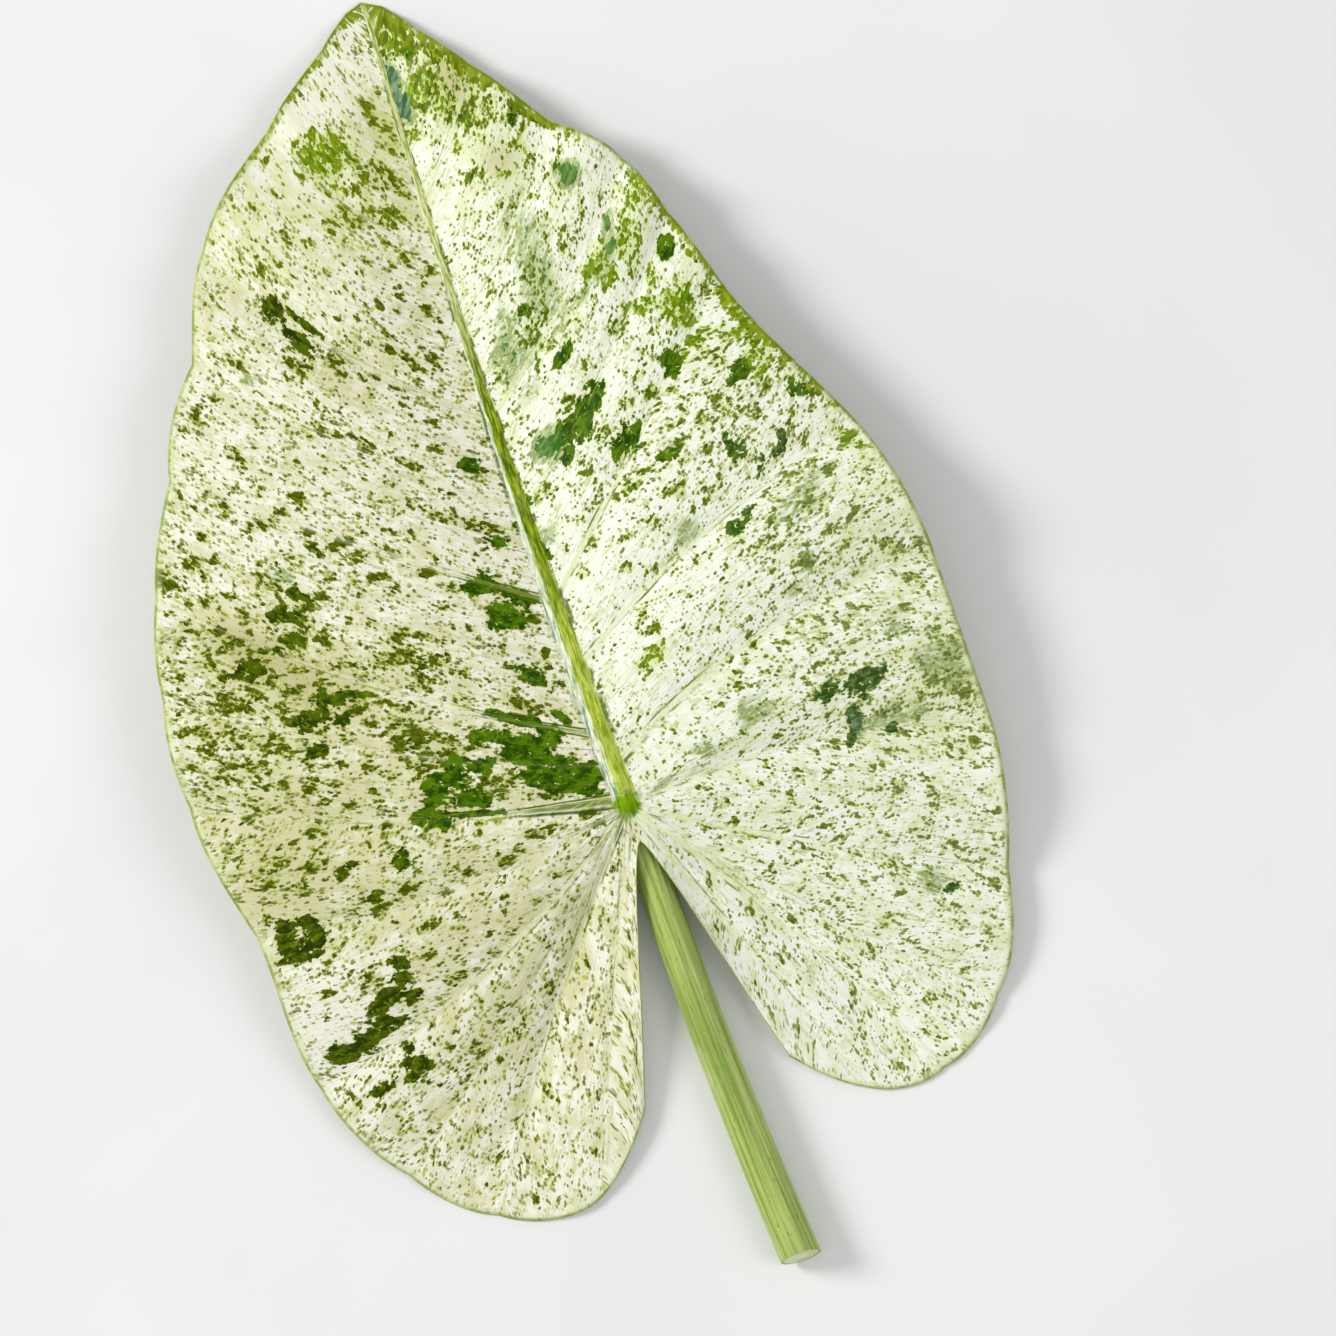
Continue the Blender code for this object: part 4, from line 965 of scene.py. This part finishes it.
def make_top(pigment, relief):
    """The blade's top: cream tissue with green cells and patches, pale ribs and a lime midrib, with painted
    shade on the left half and in its folds, and a painted highlight on the midrib.
    """
    material, paint, shader = new_material("variegated_top", 0.42, 0.05)
    plan, fibre = paint.place("plan"), paint.place("fibre")
    off, to_margin, out_share = paint.value("midrib_off"), paint.value("to_margin"), paint.value("out_share")
    gap, strength = paint.value("rib_gap"), paint.value("rib_strength")
    crowding, warmth_and_shade = paint.value("crowding"), paint.value("warmth_and_shade")
    green_edge = paint.value("green_edge")
    height_up = plan.axis(1)
    right = off.rise(-5, 5)
    left_half = off.fall(-2, 2)

    # Ground: white tissue with warmer clouds. The left half's warm ground is a little darker, partly painted
    # shade of the half that tilts away from the light.
    cloud = fibre.cloud(11, 7, 1, 4, 0.66, 0.4)
    white = right.mix((246, 244, 228), (246, 248, 234))
    warm = right.mix((217, 214, 168), (224, 228, 186))
    ground = (warmth_and_shade * 0.16 + cloud).rise(0.44, 0.72).mix(white, warm)
    brushed = fibre.cloud(7, 0.9, 43, 4, 0.7)
    brush_share = brushed.rise(0.42, 0.66, 0, 0.7) * height_up.rise(-40, 40, 0.5)
    ground = (brush_share * height_up.fall(195, 235, 0.5)).mix(ground, warm)
    # Grey-olive ground where the broad warm field runs highest: painted shade in the left half's folds and
    # outer lobe, beige-olive tissue right of the tip.
    ground = warmth_and_shade.rise(0.9, 2.7, 0, 0.85).mix(ground, (192, 186, 138))

    # Faint cells
    drift = fibre.cloud(9, 5, 2, 3, 0.6, 0.4)
    faint = paint.group(pigment, Place=fibre, Length=2, Width=0.75, Growth=1.3, Softness=0.45, Seed=11,
                        Crowd=crowding * 0.12 + drift.rise(0.35, 0.65, 0.2, 0.8))
    faint_tone = faint.other("Tone").mix((174, 178, 100), (212, 214, 160))
    tone = (faint * 0.75).mix(ground, faint_tone)

    # Where green tissue gathers: clumps over the whole blade, and the placed patches
    clump = crowding * 0.04 + fibre.cloud(5.6, 4.2, 3, 3, 0.6, 0.2)
    shift = fibre.cloud(4.5, 3, 4, 3, 0.55, 0.3) * 1.6 - 0.8
    dark_in = (paint.value("dark_reach") + shift).rise(0, 0.4)
    olive_in = (paint.value("olive_reach") + shift).rise(0.1, 0.6)
    green_in = (paint.value("green_reach") + shift).rise(-0.05, 0.4)
    gathered = clump.rise(0.54, 0.72) * abs(gap).rise(0.4, 2.2)
    gathered = gathered.most(olive_in).most(green_in * 0.95)
    halo = gathered.rise(0.1, 0.8, 0, 0.48).most(dark_in * 0.8)
    tone = halo.mix(tone, right.mix((182, 188, 82), (202, 216, 116)))

    # Yellow-green and grey-green washes under the skin
    wash = fibre.cloud(12, 4.5, 5, 4, 0.62, 0.5)
    sunny = height_up.rise(165, 215, 0, 0.8) * left_half
    yellow = sunny * wash.rise(0.4, 0.62, 0.1, 0.75) * height_up.fall(228, 246, 0.3)
    tone = yellow.mix(tone, (212, 216, 130))
    grey_reach = paint.value("grey_reach") + (wash * 1.6 - 0.8)
    grey_in = grey_reach.rise(0.05, 0.5)
    veil = grey_in * brushed.rise(0.36, 0.6, 0.35, 0.85)
    tone = veil.mix(tone, (160, 177, 112))

    # Middle and dark cells
    long, wide = off.rise(-0.1, 0.1, 1.6, 1.35), off.rise(-0.1, 0.1, 1.05)
    sprinkle = fibre.cloud(7, 5, 47, 3, 0.65, 0.2) + (plan.cloud(22, 22, 51, 2, 0.5) * 0.5 - 0.25)
    middle_crowd = crowding * 0.1 + sprinkle.rise(0.38, 0.64, 0.26, 0.62) + left_half * 0.12
    middle = paint.group(pigment, Place=fibre, Length=long, Width=wide, Growth=1.4, Softness=0.22, Seed=23,
                         Crowd=gathered.most(veil) * 0.7 + middle_crowd)
    olive = right.mix((98, 112, 4), (100, 122, 6))
    olive = height_up.rise(165, 215, 0, 0.6).mix(olive, (128, 144, 22))
    middle_tone = middle.other("Tone").mix(olive, (184, 190, 88))
    middle_tone = (grey_in * 0.8).mix(middle_tone, (150, 170, 108))
    middle_tone = (green_in * 0.8).mix(middle_tone, (150, 174, 36))
    tone = (middle * 0.9).mix(tone, middle_tone)
    dark_crowd = crowding * 0.08 + sprinkle.rise(0.42, 0.68, 0.07, 0.38)
    dark_crowd = (gathered * off.rise(-2, 2, 0.82, 0.68) + dark_crowd).most(dark_in * 1.4)
    dark = paint.group(pigment, Place=fibre, Length=long, Width=wide, Growth=1.7, Softness=0.17, Seed=37,
                       Crowd=dark_crowd)
    dull = off.rise(45, 85) * height_up.fall(80, 130)
    rim_tone = sunny.mix(right.mix((108, 122, 8), (116, 140, 18)), (134, 150, 18))
    deep = sunny.mix(right.mix((50, 66, 0), (56, 80, 0)), (78, 98, 0))
    grain = fibre.cloud(2.2, 0.8, 41)
    core = dark.other("Core") * grain.fall(0.42, 0.62, 0.35) * dark.other("Tone").fall(0, 1, 0.6)
    dark_tone = core.mix(dull.mix(rim_tone, (136, 150, 72)), dull.mix(deep, (88, 104, 40)))
    fresh = right.most(out_share.fall(0.35, 0.75))
    mottle = fibre.cloud(5, 3.2, 67, 4, 0.62, 0.4).rise(0.42, 0.6)
    bottle = mottle.mix(fresh.mix((42, 56, 0), (34, 70, 0)), fresh.mix((78, 96, 2), (82, 120, 2)))
    mottle = fibre.cloud(2.6, 1.7, 71, 3, 0.62, 0.4)
    bottle = mottle.rise(0.52, 0.66, 0, 0.75).mix(bottle, (112, 136, 16))
    dull_bottle = mottle.rise(0.46, 0.6).mix((54, 78, 28), (98, 122, 70))
    dark_tone = dark_in.mix(dark_tone, (dull * 0.9).mix(bottle, dull_bottle))
    vary = fibre.cloud(6, 1.6, 6)
    leafy = vary.rise(0.35, 0.65).mix((84, 116, 0), (134, 160, 16))
    tone = dark.mix(tone, (green_in * 0.8).mix(dark_tone, leafy))

    # Green margin on the right near the tip
    band = plan.cloud(7, 5, 9, 4, 0.65) * 2 - 1
    fringe = paint.group(pigment, Place=fibre, Length=2.2, Width=1.4, Growth=1.5, Softness=0.08, Seed=53,
                         Crowd=(green_edge + band).rise(0, 0.7))
    tone = fringe.mix(tone, fringe.other("Tone").mix((82, 104, 0), (150, 164, 30)))

    # Side ribs: a pale line between two broken green threads, finer towards the margin
    wander = fibre.cloud(24, 24, 13, 2, 0.5) * 1.6 - 0.8
    off_line = abs((gap + wander) / (out_share * -0.6 + 1.05))
    broken = fibre.cloud(22, 3, 15)
    pale = off_line.fall(0.5, 1.2) * strength * broken.rise(0.3, 0.6, 0.25, 0.9)
    pale = pale * out_share.fall(0.1, 0.75, 0.15) * dark_in.fall(0, 0.7, 0.05)
    tone = pale.mix(tone, right.mix((234, 236, 198), (222, 230, 172)))
    off_thread = abs(off_line - 1.15)
    dash = fibre.cloud(16, 2.2, 17).rise(0.48, 0.6)
    thread = off_thread.fall(0.15, 0.55) * dash * strength * out_share.rise(0.3, 0.95, 0.95, 0.3)
    thread = thread * right.most(height_up.fall(60, 110, 0.4))
    tone = thread.mix(tone, broken.rise(0.42, 0.58).mix((98, 118, 6), (158, 172, 60)))

    # Green roots of the left half's ribs
    root = off.rise(-52, -8) * off.fall(-2, 0) * strength * broken.rise(0.34, 0.54, 0.35)
    root = root * height_up.fall(70, 100, 0.3) * height_up.rise(-14, 0, 0.4)
    edge = off_thread.fall(0.1, 0.45) * root.rise(0.2, 0.5, 0, 0.9)
    tone = edge.mix(tone, (58, 84, 4))
    root_tone = fibre.cloud(30, 0.5, 73).rise(0.42, 0.56).mix((172, 184, 90), (92, 114, 6))
    strip = off_line.fall(0.35, 0.85) * root.rise(0.1, 0.6, 0, 0.9)
    tone = strip.mix(tone, (dark_in * 0.6).mix(root_tone, (92, 118, 16)))

    # Solid middles of the grey-green patches
    core_vary = vary.rise(0.4, 0.62)
    core_tone = core_vary.mix((58, 106, 24), (108, 146, 72))
    core_tone = off.rise(55, 65).mix(core_tone, core_vary.mix((64, 96, 40), (122, 146, 106)))
    core_tone = height_up.rise(226, 234).mix(core_tone, core_vary.mix((54, 98, 52), (128, 158, 124)))
    tone = (shift * 1.6 + grey_reach).rise(0.85, 1, 0, 0.95).mix(tone, core_tone)

    # Midrib: a pale left flank, partly a painted highlight on the raised midrib's lit side with painted
    # bluish reflection streaks near the knot, and a lime right one with fine streaks
    half_width = height_up.rise(-20, 240, 4.6, 1)
    share = off / half_width + (plan.cloud(1.2, 6, 29, 4, 0.7) * 1.1 - 0.55)
    streak = plan.cloud(0.6, 7, 19, 4, 0.7, 0.3)
    lime = streak.rise(0.34, 0.64).mix((210, 222, 96), (124, 150, 0))
    # Pale left flank: partly a painted highlight on the lit side of the raised midrib.
    flank_highlight = streak.rise(0.42, 0.6).mix((242, 244, 224), (190, 202, 158))
    thin = streak.rise(0.42, 0.6).mix((216, 220, 160), (140, 156, 40))
    upper = streak.rise(0.36, 0.6).mix((160, 180, 30), (70, 96, 0))
    lime = height_up.rise(130, 190).mix(height_up.rise(40, 100).mix(lime, upper), thin)
    # Bluish streaks near the knot: painted reflection on the lit flank.
    teal_sheen = plan.cloud(1.2, 10, 27, 3, 0.65).rise(0.5, 0.62) * height_up.fall(60, 110, 0.15)
    flank_highlight = teal_sheen.mix(flank_highlight, (112, 152, 122))
    pale_run = plan.cloud(2.5, 12, 33).rise(0.52, 0.68, 0, 0.6) * height_up.fall(30, 80, 0.4)
    lime = pale_run.mix(lime, (208, 218, 124))
    lime_edge = height_up.rise(60, 200, -0.35, -0.75)
    stalk = (share - lime_edge).rise(-0.12, 0.18).mix(flank_highlight, lime)
    above_knot = height_up.rise(-3, 6)
    tone = (abs(share).fall(0.8, 1) * above_knot).mix(tone, stalk)

    # Broken dark lines along both sides of the midrib: on the right partly painted shade in the crease
    # beside the raised midrib and partly a dark green edge, on the left a dark green edge higher up
    crease_line_and_shade = abs(share - 0.98).fall(0.1, 0.32) * plan.cloud(8, 9, 23).rise(0.46, 0.56)
    tone = (crease_line_and_shade * above_knot * 0.85).mix(tone, (72, 98, 2))
    crease_line_and_shade = abs(share + 0.98).fall(0.1, 0.32) * plan.cloud(8, 11, 57).rise(0.48, 0.58)
    tone = (crease_line_and_shade * height_up.rise(90, 120, 0.3, 0.9)).mix(tone, (84, 108, 4))

    # Green knot over the petiole
    rays = fibre.cloud(6, 0.8, 61, 3, 0.65) * 6 - 3
    lumps = plan.cloud(3.4, 3.4, 63) * 8 - 4
    knot_tone = streak.rise(0.38, 0.62).mix((140, 176, 0), (84, 128, 0))
    tone = (plan.length() + rays + lumps).fall(2.5, 6).mix(tone, knot_tone)

    # Margin: a pale line inside a thin green one
    edging = plan.cloud(9, 9, 2)
    greener = green_edge.rise(0.1, 0.5)
    line = to_margin.fall(1.2, 3) * edging.rise(0.35, 0.65, 0.2, 0.6)
    tone = line.mix(tone, greener.mix((212, 220, 164), (146, 164, 44)))
    outer = to_margin.fall(0.3, 1) * edging.rise(0.4, 0.6, 0.85, 0.35)
    tone = outer.mix(tone, greener.mix((138, 158, 58), (108, 132, 16)))

    paint.feed(shader.inputs["Roughness"], dark * -0.08 + 0.44)
    ridge = abs(gap).fall(0.2, 1.8) * strength * out_share.fall(0.2, 1, 0.3)
    height = paint.group(relief, Fibre=fibre, Plan=plan, Ridges=0.8) + dark * 0.25 + ridge * 1.6
    coat(paint, shader, tone, height, 0.5, 0.0004)
    return material


def make_underside(pigment, relief):
    """The blade's underside: paler and more even, with raised ribs."""
    material, paint, shader = new_material("pale_underside", 0.6, 0.35)
    plan, fibre = paint.place("plan"), paint.place("fibre")
    tone = fibre.cloud(30, 14, 2).rise(0.35, 0.68).mix((226, 231, 202), (200, 212, 168))
    gathered = fibre.cloud(10, 6.4, 3, 2.5, 0.6, 0.5).rise(0.5, 0.72)
    cells = paint.group(pigment, Place=fibre, Length=2, Width=1.35, Growth=1.3, Softness=0.3, Seed=37,
                        Crowd=gathered * 0.7 + 0.15)
    tone = (cells * 0.4).mix(tone, (160, 180, 122))
    tone = (paint.value("dark_reach").rise(0, 0.6) * 0.5).mix(tone, (120, 150, 98))
    on_rib = abs(paint.value("rib_gap")).fall(0.9, 2.6) * paint.value("rib_strength")
    tone = on_rib.mix(tone, (222, 228, 180))
    streak = plan.cloud(0.8, 30, 19).rise(0.35, 0.65)
    stalk = streak.mix((196, 210, 132), (160, 182, 88))
    low = streak.mix((182, 198, 104), (128, 156, 58))
    stalk = plan.axis(1).rise(8, 45).mix(low, stalk)
    tone = abs(paint.value("midrib_off")).fall(3.5, 6.5).mix(tone, stalk)
    coat(paint, shader, tone, paint.group(relief, Fibre=fibre, Plan=plan, Ridges=1.4), 0.6, 0.0005)
    return material


def make_rim():
    """The margin's thin edge."""
    material, paint, shader = new_material("green_rim", 0.5, 0.1)
    patchy = paint.place("plan").cloud(9, 9, 2)
    coat(paint, shader, patchy.rise(0.4, 0.6).mix((132, 154, 48), (180, 194, 104)), patchy, 0.3, 0.0003)
    return material


def make_stalk(relief):
    """The petiole's skin: light green, streaked lengthways."""
    material, paint, shader = new_material("petiole_skin", 0.42, 0.5)
    skin = paint.place("skin")
    tone = skin.cloud(60, 1.1, 1, 4, 0.62).rise(0.34, 0.66).mix((182, 198, 104), (122, 150, 52))
    tone = skin.cloud(26, 14, 4).rise(0.5, 0.75, 0, 0.5).mix(tone, (214, 220, 160))
    tone = skin.cloud(5, 0.9, 7).rise(0.62, 0.68, 0, 0.7).mix(tone, (84, 112, 36))
    coat(paint, shader, tone, paint.group(relief, Fibre=skin, Plan=skin, Ridges=1.6), 0.5, 0.0004)
    return material


def make_cut():
    """The petiole's cut face: pale and wet, with rows of vessel ends and a dried rim."""
    material, paint, shader = new_material("cut_face", 0.35, 0.5)
    face = paint.place("skin")
    out = face.length()
    vessels = paint.make("TexVoronoi", {"Vector": face, "Scale": 0.75})
    tone = out.rise(0, 5.5).mix((226, 230, 188), (204, 214, 150))
    tone = (vessels.fall(0.16, 0.3) * 0.75).mix(tone, (150, 162, 84))
    tone = out.rise(5.6, 6.3).mix(tone, (128, 148, 66))
    coat(paint, shader, tone, vessels, 0.4, 0.0003)
    return material


def petiole_radius(down):
    return PETIOLE_TOP_RADIUS + (PETIOLE_END_RADIUS - PETIOLE_TOP_RADIUS) * max(0.0, down) ** 0.8


def petiole_lift(down):
    """Height of the petiole's underside."""
    return PETIOLE_LIFT * math.exp(-down * PETIOLE_LENGTH / PETIOLE_SETTLE) * (1.0 - down)


def petiole_ring(down, shrink=1.0):
    """Points of the ring at this share of the way from the knot to the cut end."""
    radius = petiole_radius(down)
    middle = petiole_lift(down) + radius
    slanted = max(0.0, (down - SLANT_START) / (1.0 - SLANT_START))
    ring = []
    for k in range(PETIOLE_SIDES):
        angle = 2.0 * math.pi * k / PETIOLE_SIDES
        across, up = radius * math.cos(angle) * shrink, radius * math.sin(angle) * shrink
        up *= 1.0 - PETIOLE_FLATTENING * max(0.0, math.sin(angle))
        y = -PETIOLE_LENGTH * down + CUT_SLANT * up / radius * slanted
        ring.append((PETIOLE_BEND * down ** 2 + across, y, middle + up))
    return ring


def build_petiole(name):
    """The petiole, whose upper end is tucked in under the keel, and its cut face."""
    shares = [0.0] + [k / PETIOLE_RINGS for k in range(PETIOLE_RINGS + 1)]
    rings = [petiole_ring(share) for share in shares]
    rings[0] = [(x, y + TUCK_LENGTH, z) for x, y, z in petiole_ring(0.0, TUCK_SHRINK)]
    rings += [petiole_ring(1.0, shrink) for shrink in CUT_RINGS]
    points = [point for ring in rings for point in ring]

    def on_face(point):
        return point[0] - PETIOLE_BEND, point[2] - PETIOLE_END_RADIUS

    faces, slots, skin = [], [], []
    for r in range(len(rings) - 1):
        cut = r >= len(shares) - 1
        for k in range(PETIOLE_SIDES):
            a, b = r * PETIOLE_SIDES + k, r * PETIOLE_SIDES + (k + 1) % PETIOLE_SIDES
            faces.append([a, b, b + PETIOLE_SIDES, a + PETIOLE_SIDES])
            slots.append(int(cut))
            for ring, side in ((r, k), (r, k + 1), (r + 1, k + 1), (r + 1, k)):
                if cut:
                    skin.append(on_face(rings[ring][side % PETIOLE_SIDES]))
                else:
                    turned = side * 2.0 * math.pi / PETIOLE_SIDES
                    skin.append((shares[ring] * PETIOLE_LENGTH, turned * SKIN_RADIUS))
    last = (len(rings) - 1) * PETIOLE_SIDES
    faces.append(list(range(last, last + PETIOLE_SIDES)))
    skin += [on_face(point) for point in rings[-1]]
    faces.append(list(reversed(range(PETIOLE_SIDES))))
    skin += [(0.0, k * 0.6) for k in range(PETIOLE_SIDES)]
    slots += [1, 0]
    mesh = bpy.data.meshes.new(name)
    mesh.from_pydata(to_world(points), [], faces)
    mesh.polygons.foreach_set("material_index", slots)
    mesh.shade_smooth()
    mesh.set_sharp_from_angle(angle=math.radians(50.0))
    add_pairs(mesh, "skin", *np.array(skin).T)
    return mesh


def add_piece(mesh, materials, node):
    """Piece that shows in place of a node of the frame."""
    piece = bpy.data.objects.new(mesh.name, mesh)
    bpy.context.scene.collection.objects.link(piece)
    for material in materials:
        mesh.materials.append(material)
    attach(piece, "root")
    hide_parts(node)


def add_floor():
    """Plain pale floor under the leaf."""
    mesh = bpy.data.meshes.new("floor")
    half = 4.0
    mesh.from_pydata([(-half, -half, 0.0), (half, -half, 0.0), (half, half, 0.0), (-half, half, 0.0)],
                     [], [(0, 1, 2, 3)])
    material, paint, shader = new_material("pale_floor", 0.8, 0.2)
    cloud = paint.make("TexCoord", {}, "Object").noise(3, 4, 0.6, 0.3)
    tone = cloud.rise(0.35, 0.65).mix((233, 232, 231), (240, 239, 237))
    paint.feed(shader.inputs["Base Color"], tone)
    mesh.materials.append(material)
    floor = bpy.data.objects.new("floor", mesh)
    floor.location.z = -0.0002
    bpy.context.scene.collection.objects.link(floor)


def add_light(name, place, target, size, power):
    data = bpy.data.lights.new(name, "AREA")
    data.shape = "DISK"
    data.size = size
    data.energy = power
    lamp = bpy.data.objects.new(name, data)
    lamp.location = place
    lamp.rotation_euler = (Vector(target) - Vector(place)).to_track_quat("-Z", "Y").to_euler()
    bpy.context.scene.collection.objects.link(lamp)


def light_studio():
    """Plain soft light: a large window to the upper left, a card opposite and an even sky."""
    world = bpy.data.worlds.new("studio")
    world.use_nodes = True
    shade = world.node_tree.nodes["Background"]
    shade.inputs["Color"].default_value = (0.96, 0.98, 1.0, 1.0)
    shade.inputs["Strength"].default_value = 0.55
    bpy.context.scene.world = world
    add_light("window", (-2.0, 1.35, 1.5), (0.0, 0.0, 0.0), 1.0, 58.0)
    add_light("card", (1.6, -0.9, 1.8), (0.0, 0.0, 0.0), 1.6, 13.0)


def add_camera():
    """Straight above the leaf, turned so that the tip leans to the left."""
    lens, frame_width = 200.0, 0.4269
    data = bpy.data.cameras.new("camera")
    data.lens = lens
    data.sensor_width = 36.0
    camera = bpy.data.objects.new("camera", data)
    aim = OFFSET + Vector((25.9 * MM, 37.5 * MM, 14.0 * MM))
    camera.location = aim + Vector((0.0, 0.0, frame_width * lens / data.sensor_width))
    camera.rotation_euler = (0.0, 0.0, -math.atan2(0.3148, 0.9492))
    data.clip_start, data.clip_end = 0.1, 20.0
    bpy.context.scene.collection.objects.link(camera)
    bpy.context.scene.camera = camera


surface = Surface()
OFFSET = leaf_offset()
pigment, relief = make_pigment_group(), make_relief_group()
add_piece(BladeMesh(surface).build("leaf_blade"),
          (make_top(pigment, relief), make_underside(pigment, relief), make_rim()), "blade")
add_piece(build_petiole("leaf_petiole"), (make_stalk(relief), make_cut()), "petiole")
add_floor()
light_studio()
add_camera()
bpy.context.scene.view_settings.view_transform = "Standard"
